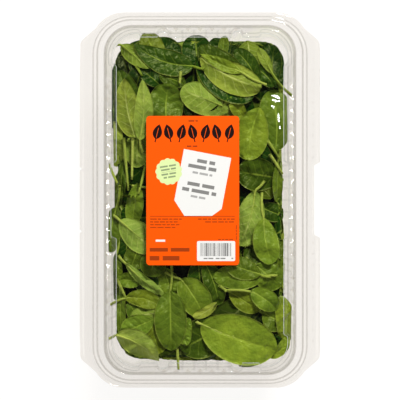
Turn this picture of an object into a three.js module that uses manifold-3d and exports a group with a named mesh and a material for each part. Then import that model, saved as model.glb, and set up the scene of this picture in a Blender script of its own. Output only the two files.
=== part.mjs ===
// A clear hinged produce box filled with baby spinach: a fluted tray, a press-on lid that turns
// on a fold along one long side, a label on the lid, and the heap of leaves inside.
// Units are millimetres. +Z is up, +Y runs along the length, the fold is on the +X side and the
// origin is at the middle of the underside.
import * as THREE from "three";
import { mergeVertices } from "three/addons/utils/BufferGeometryUtils.js";
import Module from "manifold-3d";

const wasm = await Module();
wasm.setup();

// Driving dimensions
const packWidth = 200;
const packLength = 312;
const packHeight = 90;
const sheet = 0.6; // thickness of the thermoformed plastic
const gap = 0.4; // clearance between the tray and the lid that nests on it
const flangeTop = 82; // top face of the tray's flange
const ridgeHeight = 3.6; // the ridge above the flange that the lid presses over
const mouthX = 79; // half width of the tray's mouth
const mouthY = 144.5;
const mouthRadius = 23;
const wallDraft = 9; // how far each wall leans in from the mouth to the floor
const footHeight = 2.4; // how far the middle of the floor is pushed up
const flutePitch = 10;
const fluteDepth = 2;
const cornerSteps = 5;
const plasticTolerance = 0.01; // facets flatter than this are joined

// Label
const labelWidth = 76.8;
const labelLength = 123.4;
const labelCentre = new THREE.Vector2(-6, 7.8);
const labelRadius = 2.8;
const labelThickness = 0.3;
const labelLift = 0.3;

// Geometry helpers: three.js geometry in and out of the solid library

function solidOf(geometry) {
  const bare = new THREE.BufferGeometry().setAttribute("position", geometry.getAttribute("position"));
  if (geometry.index) bare.setIndex(geometry.index);
  const merged = mergeVertices(bare, 1e-4);
  return new wasm.Manifold(
    new wasm.Mesh({
      numProp: 3,
      vertProperties: new Float32Array(merged.attributes.position.array),
      triVerts: new Uint32Array(merged.index.array),
    }),
  );
}

function geometryOf(solid) {
  const mesh = solid.getMesh();
  const geometry = new THREE.BufferGeometry();
  geometry.setAttribute("position", new THREE.BufferAttribute(new Float32Array(mesh.vertProperties), 3));
  geometry.setIndex(new THREE.BufferAttribute(new Uint32Array(mesh.triVerts), 1));
  geometry.computeVertexNormals();
  return geometry;
}

// Joins rings of equal length into a closed surface. The ends are capped with fans, or joined to
// each other when the rings run round a closed section.
function loft(rings, closed = false) {
  const count = rings[0].length;
  const points = rings.flat();
  const faces = [];
  const spans = closed ? rings.length : rings.length - 1;
  for (let i = 0; i < spans; i++) {
    const a = i * count;
    const b = ((i + 1) % rings.length) * count;
    for (let k = 0; k < count; k++) {
      const n = (k + 1) % count;
      faces.push(a + k, a + n, b + n, a + k, b + n, b + k);
    }
  }
  if (!closed) {
    for (const [ring, start, turned] of [[rings[0], 0, true], [rings.at(-1), points.length - count, false]]) {
      const middle = points.length;
      points.push(new THREE.Vector3(0, 0, ring[0].z));
      for (let k = 0; k < count; k++) {
        const n = (k + 1) % count;
        faces.push(...(turned ? [middle, start + n, start + k] : [middle, start + k, start + n]));
      }
    }
  }
  const geometry = new THREE.BufferGeometry().setFromPoints(points);
  geometry.setIndex(faces);
  const solid = solidOf(geometry);
  if (solid.volume() > 0) return solid;
  geometry.setIndex(faces.reverse());
  return solidOf(geometry);
}

// A rounded rectangle as a ring of points, anticlockwise from above. Each straight side also has
// a point at each of its stations, where push moves the side outwards.
function ring({ x, y, r, z }, stations = { long: [], short: [] }, push = () => 0) {
  const points = [];
  const corners = [[1, 1, 0], [-1, 1, 1], [-1, -1, 2], [1, -1, 3]];
  for (const [sx, sy, quarter] of corners) {
    const side = quarter % 2 === 0 ? "long" : "short";
    const along = stations[side];
    const forward = quarter === 0 || quarter === 3;
    for (const u of forward ? along : [...along].reverse()) {
      const out = push(side, u);
      if (side === "long") points.push(new THREE.Vector3(sx * (x + out), u, z));
      else points.push(new THREE.Vector3(u, sy * (y + out), z));
    }
    for (let i = 0; i <= cornerSteps; i++) {
      const angle = ((quarter + i / cornerSteps) * Math.PI) / 2;
      points.push(new THREE.Vector3(
        sx * (x - r) + r * Math.cos(angle),
        sy * (y - r) + r * Math.sin(angle),
        z,
      ));
    }
  }
  return points;
}

// Gives a profile of {x, y, r, z} rows a second face at the sheet's thickness, on its left side
// as it runs outwards, and returns the closed section: first face out, second face back.
function thicken(rows, thickness) {
  const second = rows.map((row, i) => {
    const before = rows[Math.max(i - 1, 0)];
    const after = rows[Math.min(i + 1, rows.length - 1)];
    const unit = (a, b) => {
      const length = Math.hypot(b.x - a.x, b.z - a.z) || 1;
      return [(b.x - a.x) / length, (b.z - a.z) / length];
    };
    const one = i > 0 ? unit(before, row) : unit(row, after);
    const two = i < rows.length - 1 ? unit(row, after) : unit(before, row);
    let nx = -(one[1] + two[1]);
    let nz = one[0] + two[0];
    const length = Math.hypot(nx, nz);
    const mitre = thickness / (length / 2) / length;
    nx *= mitre;
    nz *= mitre;
    return { x: row.x + nx, y: row.y + nx, r: Math.max(row.r + nx, 1), z: row.z + nz };
  });
  return [...rows, ...second.reverse()];
}

// The plastic box

const wallAt = (z) => {
  const share = (flangeTop - z) / (flangeTop - 5);
  const lean = wallDraft * share;
  return { x: mouthX - lean, y: mouthY - lean, r: mouthRadius - lean, z };
};

const ridgeTop = flangeTop + ridgeHeight;
const ridgeWidthX = 6.4;
const ridgeWidthY = 5;
const ridgeSlopeX = 3.6;
const ridgeSlopeY = 3;
const flangeLap = 1.2; // the strip where the flange plate overlaps the formed rim

// The rim rises from the mouth over the ridge and down to the flange.
function rimRows(lift, mouthInset) {
  const outer = { x: mouthX + ridgeWidthX, y: mouthY + ridgeWidthY, r: mouthRadius + 5 };
  const foot = { x: outer.x + ridgeSlopeX, y: outer.y + ridgeSlopeY, r: outer.r + 3 };
  return [
    { x: mouthX - mouthInset, y: mouthY - mouthInset, r: mouthRadius - mouthInset, z: ridgeTop + lift },
    { ...outer, z: ridgeTop + lift },
    { ...foot, z: flangeTop + lift },
    { x: foot.x + flangeLap, y: foot.y + flangeLap, r: foot.r + flangeLap, z: flangeTop + lift },
  ];
}

// The outline of the flange: side wings with cut corners, a pull tab marked off by two small
// notches on the -X side, and the fold side set back between its two folded stretches.
const wingX = packWidth / 2;
const endY = packLength / 2;
const tabHalf = 26;
const setBack = 5;
const setBackHalf = 30;

function flangeOutline() {
  const arcRadius = 28;
  const arcCentreX = 63;
  const arcCentreY = endY - arcRadius;
  const cutFrom = THREE.MathUtils.degToRad(32);
  const wingEndY = 128.5;
  const shape = new THREE.Shape();
  const corner = (sx, sy) => ({
    cut: [sx * (arcCentreX + arcRadius * Math.cos(cutFrom)), sy * (arcCentreY + arcRadius * Math.sin(cutFrom))],
    bend: [sx * (wingX - 3.2), sy * (wingEndY + 5.8)],
    knee: [sx * wingX, sy * (wingEndY + 3)],
    wing: [sx * wingX, sy * wingEndY],
  });
  const rightTop = corner(1, 1);
  const leftTop = corner(-1, 1);
  const leftEnd = corner(-1, -1);
  const rightEnd = corner(1, -1);
  const lead = 3;
  shape.moveTo(...rightEnd.wing);
  shape.lineTo(wingX, -setBackHalf - lead);
  shape.quadraticCurveTo(wingX, -setBackHalf, wingX - setBack, -setBackHalf + 1);
  shape.lineTo(wingX - setBack, setBackHalf - 1);
  shape.quadraticCurveTo(wingX, setBackHalf, wingX, setBackHalf + lead);
  shape.lineTo(...rightTop.wing);
  shape.quadraticCurveTo(...rightTop.knee, ...rightTop.bend);
  shape.lineTo(...rightTop.cut);
  shape.absarc(arcCentreX, arcCentreY, arcRadius, cutFrom, Math.PI / 2, false);
  shape.absarc(-arcCentreX, arcCentreY, arcRadius, Math.PI / 2, Math.PI - cutFrom, false);
  shape.lineTo(...leftTop.bend);
  shape.quadraticCurveTo(...leftTop.knee, ...leftTop.wing);
  for (const side of [1, -1]) {
    const notch = 1.6;
    shape.lineTo(-wingX, side * tabHalf + notch);
    shape.lineTo(-wingX + notch, side * tabHalf);
    shape.lineTo(-wingX, side * tabHalf - notch);
  }
  shape.lineTo(...leftEnd.wing);
  shape.quadraticCurveTo(...leftEnd.knee, ...leftEnd.bend);
  shape.lineTo(...leftEnd.cut);
  shape.absarc(-arcCentreX, -arcCentreY, arcRadius, Math.PI + cutFrom, Math.PI * 1.5, false);
  shape.absarc(arcCentreX, -arcCentreY, arcRadius, Math.PI * 1.5, Math.PI * 2 - cutFrom, false);
  shape.lineTo(...rightEnd.bend);
  shape.quadraticCurveTo(...rightEnd.knee, ...rightEnd.wing);
  return shape;
}

function flangePlate(top) {
  const lap = rimRows(0, 0).at(-1);
  const inside = ring({ x: lap.x - flangeLap / 2, y: lap.y - flangeLap / 2, r: lap.r - flangeLap / 2, z: 0 });
  const shape = flangeOutline();
  shape.holes.push(new THREE.Path(inside.map((p) => new THREE.Vector2(p.x, p.y)).reverse()));
  const plate = new THREE.ExtrudeGeometry(shape, { depth: sheet, bevelEnabled: false, curveSegments: 5 });
  plate.translate(0, 0, top - sheet);
  return solidOf(plate);
}

function steps(from, to, size) {
  const out = [];
  for (let u = from; u <= to + 1e-9; u += size) out.push(u);
  return out;
}

const fluteEndLong = 105;
const fluteEndShort = 30;
const fluteStations = {
  long: steps(-fluteEndLong, fluteEndLong, flutePitch / 2),
  short: steps(-fluteEndShort, fluteEndShort, flutePitch / 2),
};

// Flutes swell outwards between sharp cusps that stand into the box.
function cusp(side, u) {
  const end = side === "long" ? fluteEndLong : fluteEndShort;
  return Math.round((end - u) / (flutePitch / 2)) % 2 === 1 ? -fluteDepth : 0;
}

function makeTray() {
  const lowEnd = 9;
  const lowFlute = 12;
  const highFlute = flangeTop - 7;
  const highEnd = flangeTop - 4;
  const lap = 0.5;
  // The faces inside the box come first and the outer face is one sheet away from them.
  const floor = wallAt(5);
  const pan = thicken([
    { x: floor.x - 18, y: floor.y - 18, r: 7, z: footHeight + sheet },
    { x: floor.x - 14.5, y: floor.y - 14.5, r: 9, z: sheet },
    { x: floor.x - 4, y: floor.y - 4, r: 12, z: sheet },
    { x: floor.x - 0.6, y: floor.y - 0.6, r: 13.5, z: 2.2 },
    wallAt(5),
    wallAt(lowEnd + lap),
  ], -sheet);
  const wall = thicken([wallAt(lowEnd), wallAt(lowFlute), wallAt(highFlute), wallAt(highEnd + lap)], -sheet);
  const fluted = wall.map((row, i) => {
    const full = i === 1 || i === 2 || i === 5 || i === 6;
    return ring(row, fluteStations, full ? cusp : () => 0);
  });
  const rim = thicken([wallAt(highEnd), ...rimRows(0, 0)], -sheet);
  return loft(pan.map((row) => ring(row)))
    .add(loft(fluted, true))
    .add(loft(rim.map((row) => ring(row)), true))
    .add(flangePlate(flangeTop))
    .simplify(plasticTolerance);
}

// The lid's panel swells out to the rim at the middle of each long side, and has two round lugs
// on each short side.
const swellHalf = 29.5;
const swellLead = 3;
const swellOut = 4.4;
const lugX = 30.6;
const lugRadius = 4.5;
const lidStations = {
  long: [-swellHalf - swellLead, -swellHalf, swellHalf, swellHalf + swellLead],
  short: [-1, 1].flatMap((side) => [-1, -0.72, 0, 0.72, 1].map((share) => side * lugX + lugRadius * share)),
};

function panelPush(side, u) {
  if (side === "long") return Math.abs(u) <= swellHalf ? swellOut : 0;
  const off = Math.min(Math.abs(Math.abs(u) - lugX), lugRadius);
  return Math.sqrt(lugRadius * lugRadius - off * off);
}

const ledgeHeight = flangeTop + 1.4; // underside of the ledge between the ridge and the panel
const panelTop = packHeight - labelLift - labelThickness;
const panelUnder = panelTop - sheet;
const ledgeInset = 6.2;
const panelInset = 9.6;

function makeLid() {
  const inset = (d, z) => ({ x: mouthX - d, y: mouthY - d, r: mouthRadius - d * 0.6, z });
  const rows = thicken([
    inset(panelInset, panelUnder),
    inset(ledgeInset, ledgeHeight),
    inset(0.9, ledgeHeight),
    inset(0.4, ridgeTop + gap),
    ...rimRows(gap, 0).slice(1),
  ], sheet);
  const last = rows.length - 1;
  const pushed = new Set([0, 1, last - 1, last]);
  return loft(rows.map((row, i) => ring(row, lidStations, pushed.has(i) ? panelPush : () => 0)))
    .add(flangePlate(flangeTop + gap + sheet))
    .simplify(plasticTolerance);
}

function makeLabel() {
  const w = labelWidth / 2;
  const l = labelLength / 2;
  const shape = new THREE.Shape();
  shape.absarc(w - labelRadius, l - labelRadius, labelRadius, 0, Math.PI / 2, false);
  shape.absarc(-w + labelRadius, l - labelRadius, labelRadius, Math.PI / 2, Math.PI, false);
  shape.absarc(-w + labelRadius, -l + labelRadius, labelRadius, Math.PI, Math.PI * 1.5, false);
  shape.absarc(w - labelRadius, -l + labelRadius, labelRadius, Math.PI * 1.5, Math.PI * 2, false);
  return new THREE.ExtrudeGeometry(shape, { depth: labelThickness, bevelEnabled: false, curveSegments: 4 });
}

// The heap of leaves

// Leaves that show through the lid, lowest first: where the blade starts and ends, its width,
// and where a long stalk ends.
const shownLeaves = [
  { base: [-45, 98], tip: [-57, 118], width: 12 },
  { base: [-33, 98], tip: [-48, 109], width: 16 },
  { base: [-13, 104], tip: [-27, 135], width: 27 },
  { base: [-2, 112], tip: [-2, 139], width: 25 },
  { base: [66, 96], tip: [57, 131], width: 22 },
  { base: [42, 111], tip: [61, 95], width: 16 },
  { base: [20, 90], tip: [42, 72], width: 20 },
  { base: [-52, 53], tip: [-51, 31], width: 19 },
  { base: [50, 50], tip: [52, 26], width: 14 },
  { base: [-68, -6], tip: [-70, -38], width: 13 },
  { base: [38, -38], tip: [61, -62], width: 26 },
  { base: [3, -50], tip: [9, -80], width: 16 },
  { base: [-31, -60], tip: [-20, -80], width: 17 },
  { base: [-40, -60], tip: [-61, -50], width: 19 },
  { base: [24, -116], tip: [-18, -121], width: 28 },
  { base: [52, -96], tip: [69, -102], width: 18 },
  { base: [36, 132], tip: [44, 112], width: 18 },
  { base: [-66, 130], tip: [-43, 109], width: 17 },
  { base: [-54, 76], tip: [-66, 108], width: 24 },
  { base: [63, 43], tip: [67, 84], width: 16 },
  { base: [40, 62], tip: [61, 92], width: 26 },
  { base: [27, 80], tip: [-14.5, 92], width: 28 },
  { base: [-24, 58], tip: [-27, 96.5], width: 28 },
  { base: [29, 23], tip: [63, 15], width: 28 },
  { base: [52, -5], tip: [69, -15], width: 15 },
  { base: [-50, 15], tip: [-56, -22], width: 20 },
  { base: [-36, -71], tip: [-38, -46], width: 20 },
  { base: [-41, -98], tip: [-34, -128], width: 17 },
  { base: [-62, -114], tip: [-37, -92], width: 16 },
  { base: [47, -57], tip: [66, -72], width: 22 },
  { base: [12, -60], tip: [51, -63], width: 27 },
  { base: [25, -78], tip: [50, -92], width: 17 },
  { base: [49, 94], tip: [-5, 113], width: 34 },
  { base: [47, 99], tip: [22, 132], width: 22 },
  { base: [35, 108], tip: [3, 130], width: 26 },
  { base: [49, 94], tip: [0, 119], width: 30, stalk: [55, 92] },
  { base: [-7, 112], tip: [-54, 131], width: 27 },
  { base: [-55, 49], tip: [-63, 101], width: 24, stalk: [-57, 17] },
  { base: [-51, 51], tip: [-48, 99], width: 23 },
  { base: [57, 72], tip: [38, 34], width: 32 },
  { base: [47, 7], tip: [31, -38], width: 26, stalk: [54, 15] },
  { base: [53, -16], tip: [60, -52], width: 22, stalk: [52, 5] },
  { base: [-66, -18], tip: [-42, -45], width: 24 },
  { base: [-60, -81], tip: [-35, -88], width: 13, stalk: [-71, -86] },
  { base: [43, -76], tip: [63, -90], width: 18, stalk: [21, -75.5] },
  { base: [-17, -65], tip: [5, -97], width: 26, stalk: [-28, -60] },
  { base: [1, -102], tip: [63.5, -125], width: 42 },
  { base: [-25, -78], tip: [-23, -125], width: 27, stalk: [-24.5, -50] },
  { base: [-70, -113], tip: [-34, -134], width: 21 },
];

const leafThickness = 0.9;
const leafSteps = 4;
const heapClearLow = 3.2; // how far the heap's side stands inside the tray's wall at the floor
const heapClearHigh = 9.6; // and at the mouth, because the heap's side is upright and the wall leans out
const heapFloor = footHeight + sheet + 0.8;
const heapTolerance = 0.05;

// Half the width of a blade at a share t of its length, as a share of the widest.
const bladeShape = (t) => 0.08 + 0.92 * Math.pow(Math.sin(Math.PI * Math.pow(t, 0.9)), 0.7) * (1 - 0.1 * t);

// The heap's core rises from its shoulder under the lid's ledge to a low dome under the panel.
const coreLevels = [
  { inset: 10.4, z: 75 },
  { inset: 13, z: 80 },
  { inset: 18, z: 83 },
  { inset: 38, z: 85.2 },
];
const coreShoulder = coreLevels[0].z;

const insetAt = (x, y) => Math.min(mouthX - Math.abs(x), mouthY - Math.abs(y));

function coreHeight(x, y) {
  const inset = insetAt(x, y);
  const above = coreLevels.findIndex((level) => level.inset > inset);
  if (above < 0) return coreLevels.at(-1).z;
  if (above === 0) return coreShoulder;
  const [low, high] = [coreLevels[above - 1], coreLevels[above]];
  return THREE.MathUtils.mapLinear(inset, low.inset, high.inset, low.z, high.z);
}

// How high a leaf may lie under the lid at a point.
function ceilingAt(x, y) {
  const inset = insetAt(x, y);
  const share = THREE.MathUtils.clamp((inset - ledgeInset - 1) / (panelInset - ledgeInset), 0, 1);
  return THREE.MathUtils.lerp(ledgeHeight, panelUnder, share) - leafThickness - 0.6;
}

// The height of what already lies in the box, on a square grid.
const cell = 2;
const columns = Math.ceil((2 * mouthX) / cell);
const lines = Math.ceil((2 * mouthY) / cell);
const heights = Float32Array.from({ length: columns * lines }, (_, k) => (
  coreHeight(-mouthX + ((k % columns) + 0.5) * cell, -mouthY + (Math.floor(k / columns) + 0.5) * cell)
));
const cellAt = (x, y) => {
  const i = THREE.MathUtils.clamp(Math.floor((x + mouthX) / cell), 0, columns - 1);
  const j = THREE.MathUtils.clamp(Math.floor((y + mouthY) / cell), 0, lines - 1);
  return j * columns + i;
};

// A closed leaf from a grid of points on its upper face: rows run along it, three points across.
function leafSolid(rows, down) {
  const upper = rows.flat();
  const points = [...upper, ...upper.map((p, i) => p.clone().addScaledVector(down(i), leafThickness))];
  const half = upper.length;
  const faces = [];
  const across = rows[0].length;
  const quad = (a, b, c, d) => faces.push(a, b, c, a, c, d);
  for (let i = 0; i < rows.length - 1; i++) {
    for (let j = 0; j < across - 1; j++) {
      const a = i * across + j;
      quad(a, a + 1, a + across + 1, a + across);
      quad(half + a + across, half + a + across + 1, half + a + 1, half + a);
    }
    const left = i * across;
    const right = left + across - 1;
    quad(left + across, half + left + across, half + left, left);
    quad(right, half + right, half + right + across, right + across);
  }
  const end = (rows.length - 1) * across;
  for (let j = 0; j < across - 1; j++) {
    quad(j, half + j, half + j + 1, j + 1);
    quad(end + j + 1, half + end + j + 1, half + end + j, end + j);
  }
  const geometry = new THREE.BufferGeometry().setFromPoints(points);
  geometry.setIndex(faces);
  const solid = solidOf(geometry);
  if (solid.volume() > 0) return solid;
  geometry.setIndex(faces.reverse());
  return solidOf(geometry);
}

// Stations along a leaf: the stalk's end, if it shows, then the blade from base to tip.
function leafLine({ base, tip, width, stalk }) {
  const start = new THREE.Vector2(...base);
  const end = new THREE.Vector2(...tip);
  const stations = [];
  const stalkHalf = 1.1;
  if (stalk) stations.push({ at: new THREE.Vector2(...stalk), half: stalkHalf, t: 0 });
  for (let i = 0; i <= leafSteps; i++) {
    const t = i / leafSteps;
    const half = Math.max((width / 2) * bladeShape(t), stalkHalf);
    stations.push({ at: start.clone().lerp(end, t), half, t });
  }
  return stations;
}

// Lays a leaf on what is under it, slightly arched and with its sides drooping, and raises the
// grid of heights by it.
function layLeaf(leaf) {
  const stations = leafLine(leaf);
  const rows = stations.map((station, i) => {
    const next = stations[Math.min(i + 1, stations.length - 1)].at;
    const last = stations[Math.max(i - 1, 0)].at;
    const side = next.clone().sub(last).normalize();
    side.set(-side.y, side.x);
    return [-1, 0, 1].map((s) => {
      const p = station.at.clone().addScaledVector(side, s * station.half);
      return new THREE.Vector3(p.x, p.y, heights[cellAt(p.x, p.y)]);
    });
  });
  const flat = rows.flat();
  const mean = flat.reduce((sum, p) => sum + p.z, 0) / flat.length;
  const peak = flat.reduce((most, p) => Math.max(most, p.z), 0);
  const rest = THREE.MathUtils.lerp(mean, peak, 0.6);
  rows.forEach((row, i) => row.forEach((p, j) => {
    const arch = Math.sin(Math.PI * stations[i].t) * 1.1 - (j === 1 ? 0.5 : 0);
    const lying = THREE.MathUtils.lerp(p.z, rest, 0.55) + arch;
    p.z = Math.min(Math.max(lying, p.z - 0.3) + leafThickness, ceilingAt(p.x, p.y) + leafThickness);
  }));
  for (let i = 0; i < rows.length - 1; i++) {
    for (let a = 0; a <= 1; a += 0.1) {
      for (let b = 0; b <= 2; b += 0.125) {
        const j = Math.min(Math.floor(b), 1);
        const near = rows[i][j].clone().lerp(rows[i][j + 1], b - j);
        const far = rows[i + 1][j].clone().lerp(rows[i + 1][j + 1], b - j);
        near.lerp(far, a);
        const at = cellAt(near.x, near.y);
        heights[at] = Math.max(heights[at], near.z);
      }
    }
  }
  return leafSolid(rows, () => new THREE.Vector3(0, 0, -1));
}

// The line of the mouth, which every level of the wall runs parallel to
function mouthPath() {
  const path = new THREE.Path();
  path.absarc(mouthX - mouthRadius, mouthY - mouthRadius, mouthRadius, 0, Math.PI / 2, false);
  path.absarc(-mouthX + mouthRadius, mouthY - mouthRadius, mouthRadius, Math.PI / 2, Math.PI, false);
  path.absarc(-mouthX + mouthRadius, -mouthY + mouthRadius, mouthRadius, Math.PI, Math.PI * 1.5, false);
  path.absarc(mouthX - mouthRadius, -mouthY + mouthRadius, mouthRadius, Math.PI * 1.5, Math.PI * 2, false);
  path.closePath();
  return path;
}

const perimeter = mouthPath();
const aroundLength = perimeter.getLength();

// A point inside the wall: a distance round the mouth, a height and a depth from the wall.
function onWall(around, z, depth) {
  const share = THREE.MathUtils.euclideanModulo(around / aroundLength, 1);
  const p = perimeter.getPointAt(share);
  const tangent = perimeter.getTangentAt(share);
  const inwards = new THREE.Vector2(-tangent.y, tangent.x);
  const lean = (wallDraft * (flangeTop - z)) / (flangeTop - 5);
  p.addScaledVector(inwards, depth + lean);
  return new THREE.Vector3(p.x, p.y, z);
}

// A seeded random number between 0 and 1
let seed = 20;
function random() {
  seed = (seed * 1664525 + 1013904223) % 4294967296;
  return seed / 4294967296;
}

const heapClear = (z) => THREE.MathUtils.mapLinear(z, 5, flangeTop, heapClearLow, heapClearHigh);

// A leaf on the heap's side, fused to the core behind it.
function wallLeaf(around, z, angle, length, width) {
  const dir = [Math.cos(angle), Math.sin(angle)];
  const rows = [];
  const loose = 0.7 * random();
  for (let i = 0; i <= leafSteps; i++) {
    const t = i / leafSteps;
    const half = Math.max((width / 2) * bladeShape(t), 1);
    rows.push([-1, 0, 1].map((s) => {
      const u = around + dir[0] * (t - 0.5) * length - dir[1] * s * half;
      const level = z + dir[1] * (t - 0.5) * length + dir[0] * s * half;
      const v = THREE.MathUtils.clamp(level, heapFloor + 1, coreShoulder + 2);
      return { u, v, s };
    }));
  }
  const depth = (p) => heapClear(p.v) - loose + (p.s === 0 ? 0.5 : 0);
  const top = rows.map((row) => row.map((p) => onWall(p.u, p.v, depth(p))));
  const middle = onWall(around, z, heapClear(z));
  const behind = onWall(around, z, heapClear(z) + 5);
  const inwards = behind.sub(middle).normalize();
  return leafSolid(top, () => inwards);
}

function heapCore() {
  const at = (z, more = 0) => {
    const wall = wallAt(z);
    const depth = heapClear(z) + 0.5;
    return { x: wall.x - depth - more, y: wall.y - depth - more, r: wall.r - depth, z };
  };
  const level = ({ inset, z }) => (
    { x: mouthX - inset, y: mouthY - inset, r: Math.max(mouthRadius - inset * 0.6, 4), z }
  );
  return loft([at(heapFloor, 5), at(heapFloor + 4), at(60), ...coreLevels.map(level)].map((row) => ring(row)));
}

function makeSpinach() {
  let heap = heapCore();
  for (const leaf of shownLeaves) heap = heap.add(layLeaf(leaf));
  const wallLeaves = 26;
  for (let i = 0; i < wallLeaves; i++) {
    const around = ((i + 0.3 * random()) / wallLeaves) * aroundLength;
    const z = i % 2 ? 26 + 8 * random() : 52 + 8 * random();
    heap = heap.add(wallLeaf(around, z, Math.PI * 2 * random(), 36 + 12 * random(), 20 + 8 * random()));
  }
  // The largest body is the heap itself; sealed pockets and loose scraps fall away.
  const bodies = heap.simplify(heapTolerance).decompose();
  return bodies.reduce((best, body) => (body.volume() > best.volume() ? body : best));
}

// The scene graph

const clearPlastic = () => new THREE.MeshStandardMaterial({
  color: 0xf1efec, roughness: 0.12, metalness: 0, transparent: true, opacity: 0.3,
});
const paperOrange = new THREE.MeshStandardMaterial({ color: 0xff5a00, roughness: 0.45, metalness: 0 });
const leafGreen = new THREE.MeshStandardMaterial({ color: 0x4f7a26, roughness: 0.55, metalness: 0 });

function mesh(name, geometry, material) {
  const out = new THREE.Mesh(geometry, material);
  out.name = name;
  return out;
}

const root = new THREE.Group();
const base = new THREE.Group();
const cover = new THREE.Group();
root.add(base, cover);
base.add(mesh("tray", geometryOf(makeTray()), clearPlastic()));
base.add(mesh("spinach", geometryOf(makeSpinach()), leafGreen));
cover.add(mesh("lid", geometryOf(makeLid()), clearPlastic()));
const label = mesh("label", makeLabel(), paperOrange);
label.position.set(labelCentre.x, labelCentre.y, panelTop + labelLift);
cover.add(label);

export default root;
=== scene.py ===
# A clear hinged box of baby spinach with an orange label on its lid, seen from straight above.
# The clear sheets, the printed label and every leaf are made here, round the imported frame.
# Lengths are in millimetres until a mesh is made.
import math

import bpy
import numpy as np
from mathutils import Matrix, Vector


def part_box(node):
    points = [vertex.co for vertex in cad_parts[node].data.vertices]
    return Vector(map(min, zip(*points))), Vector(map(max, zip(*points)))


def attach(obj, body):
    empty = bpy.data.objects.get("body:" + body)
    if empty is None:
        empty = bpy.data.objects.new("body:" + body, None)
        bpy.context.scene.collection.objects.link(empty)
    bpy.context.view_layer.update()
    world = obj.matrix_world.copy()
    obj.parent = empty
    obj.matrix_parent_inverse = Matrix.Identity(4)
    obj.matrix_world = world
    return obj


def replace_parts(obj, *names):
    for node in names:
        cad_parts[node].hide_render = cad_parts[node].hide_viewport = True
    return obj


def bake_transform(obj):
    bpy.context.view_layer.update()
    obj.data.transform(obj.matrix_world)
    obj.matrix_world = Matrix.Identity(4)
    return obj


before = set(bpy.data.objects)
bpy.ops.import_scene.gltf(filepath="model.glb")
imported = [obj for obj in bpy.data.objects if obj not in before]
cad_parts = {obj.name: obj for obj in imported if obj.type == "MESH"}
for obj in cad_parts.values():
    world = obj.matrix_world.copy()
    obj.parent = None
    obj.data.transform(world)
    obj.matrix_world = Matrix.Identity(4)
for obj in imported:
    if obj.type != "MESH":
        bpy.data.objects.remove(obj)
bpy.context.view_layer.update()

MM = 0.001


def box_mm(node):
    low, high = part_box(node)
    return np.array(low) / MM, np.array(high) / MM


# Driving dimensions, read from the frame where it has them
TRAY_LOW, TRAY_HIGH = box_mm("tray")
_, LID_HIGH = box_mm("lid")
LABEL_LOW, LABEL_HIGH = box_mm("label")
HALF_WIDTH = TRAY_HIGH[0]
HALF_LENGTH = TRAY_HIGH[1]
RIDGE_TOP = TRAY_HIGH[2]
PANEL_TOP = LID_HIGH[2]
# The sheets' thickness, the air between tray and lid, and the tray's form: its ridge, its mouth, how far
# the wall leans in, where it starts and its flutes
SHEET = 0.6
GAP = 0.4
RIDGE_HEIGHT = 3.6
FLANGE_TOP = RIDGE_TOP - RIDGE_HEIGHT
MOUTH_X = HALF_WIDTH - 21
MOUTH_Y = HALF_LENGTH - 11.5
MOUTH_RADIUS = 23
DRAFT = 9
WALL_FOOT = 5
FLUTE_PITCH = 10
FLUTE_DEPTH = 2
FLUTE_END_LONG = 105
FLUTE_END_SHORT = 30
LEDGE_UNDER = FLANGE_TOP + 1.4
PANEL_UNDER = PANEL_TOP - SHEET
# The signs of x and y in each quarter of a plan
QUARTERS = [(1, 1), (-1, 1), (-1, -1), (1, -1)]

# Random draws, with their own for the leaves under the label
rng = np.random.default_rng(11)
label_rng = np.random.default_rng(17)


# Meshes

def make_mesh(name, points, faces, materials, body, uv=None, floats=None, face_ink=None, smooth=True):
    """A piece that rides on a body of the frame where one is named. Points are in millimetres."""
    mesh = bpy.data.meshes.new(name)
    mesh.from_pydata((np.asarray(points, float) * MM).tolist(), [], faces)
    mesh.update()
    for material in materials:
        mesh.materials.append(material)
    if face_ink is not None:
        mesh.polygons.foreach_set("material_index", face_ink)
    mesh.polygons.foreach_set("use_smooth", [smooth] * len(mesh.polygons))
    if uv is not None:
        corner = np.zeros(len(mesh.loops), int)
        mesh.loops.foreach_get("vertex_index", corner)
        layer = mesh.uv_layers.new(name="UVMap")
        layer.data.foreach_set("uv", np.asarray(uv, float)[corner].ravel())
    for key, values in (floats or {}).items():
        attribute = mesh.attributes.new(key, "FLOAT", "POINT")
        attribute.data.foreach_set("value", np.asarray(values, float))
    piece = bpy.data.objects.new(name, mesh)
    bpy.context.scene.collection.objects.link(piece)
    if body:
        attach(piece, body)
    return piece


def grid_faces(rows, columns, start=0, turned=False):
    """Quads between the points of a grid, row by row."""
    i, j = np.meshgrid(np.arange(rows - 1), np.arange(columns - 1), indexing="ij")
    a = (start + i * columns + j).ravel()
    quads = np.stack([a, a + 1, a + columns + 1, a + columns], axis=1)
    return quads[:, ::-1] if turned else quads


def band_faces(low, high, turned=False):
    """Quads between two closed rows of point numbers."""
    quads = np.stack([low, np.roll(low, -1), np.roll(high, -1), high], axis=1)
    return quads[:, [0, 3, 2, 1]] if turned else quads


def ring_faces(levels, count, turned=False, closed=False):
    """Quads between each ring of points and the next, and from the last to the first where closed."""
    rings = np.arange(levels * count).reshape(levels, count)
    after = np.roll(rings, -1, axis=0) if closed else rings[1:]
    return np.concatenate([band_faces(low, high, turned) for low, high in zip(rings, after)])


def capped_faces(levels, count, turned=False):
    """The faces of a closed solid between rings: its two ends and the bands between them."""
    first, last = list(range(count)), list(range((levels - 1) * count, levels * count))
    ends = [first, last[::-1]] if turned else [first[::-1], last]
    return ends + ring_faces(levels, count, turned).tolist()


def join(parts):
    """Point and face lists joined into one pair."""
    points, faces = [], []
    for some_points, some_faces in parts:
        start = len(points)
        points += [tuple(p) for p in some_points]
        faces += [[start + k for k in face] for face in some_faces]
    return points, faces


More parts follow.
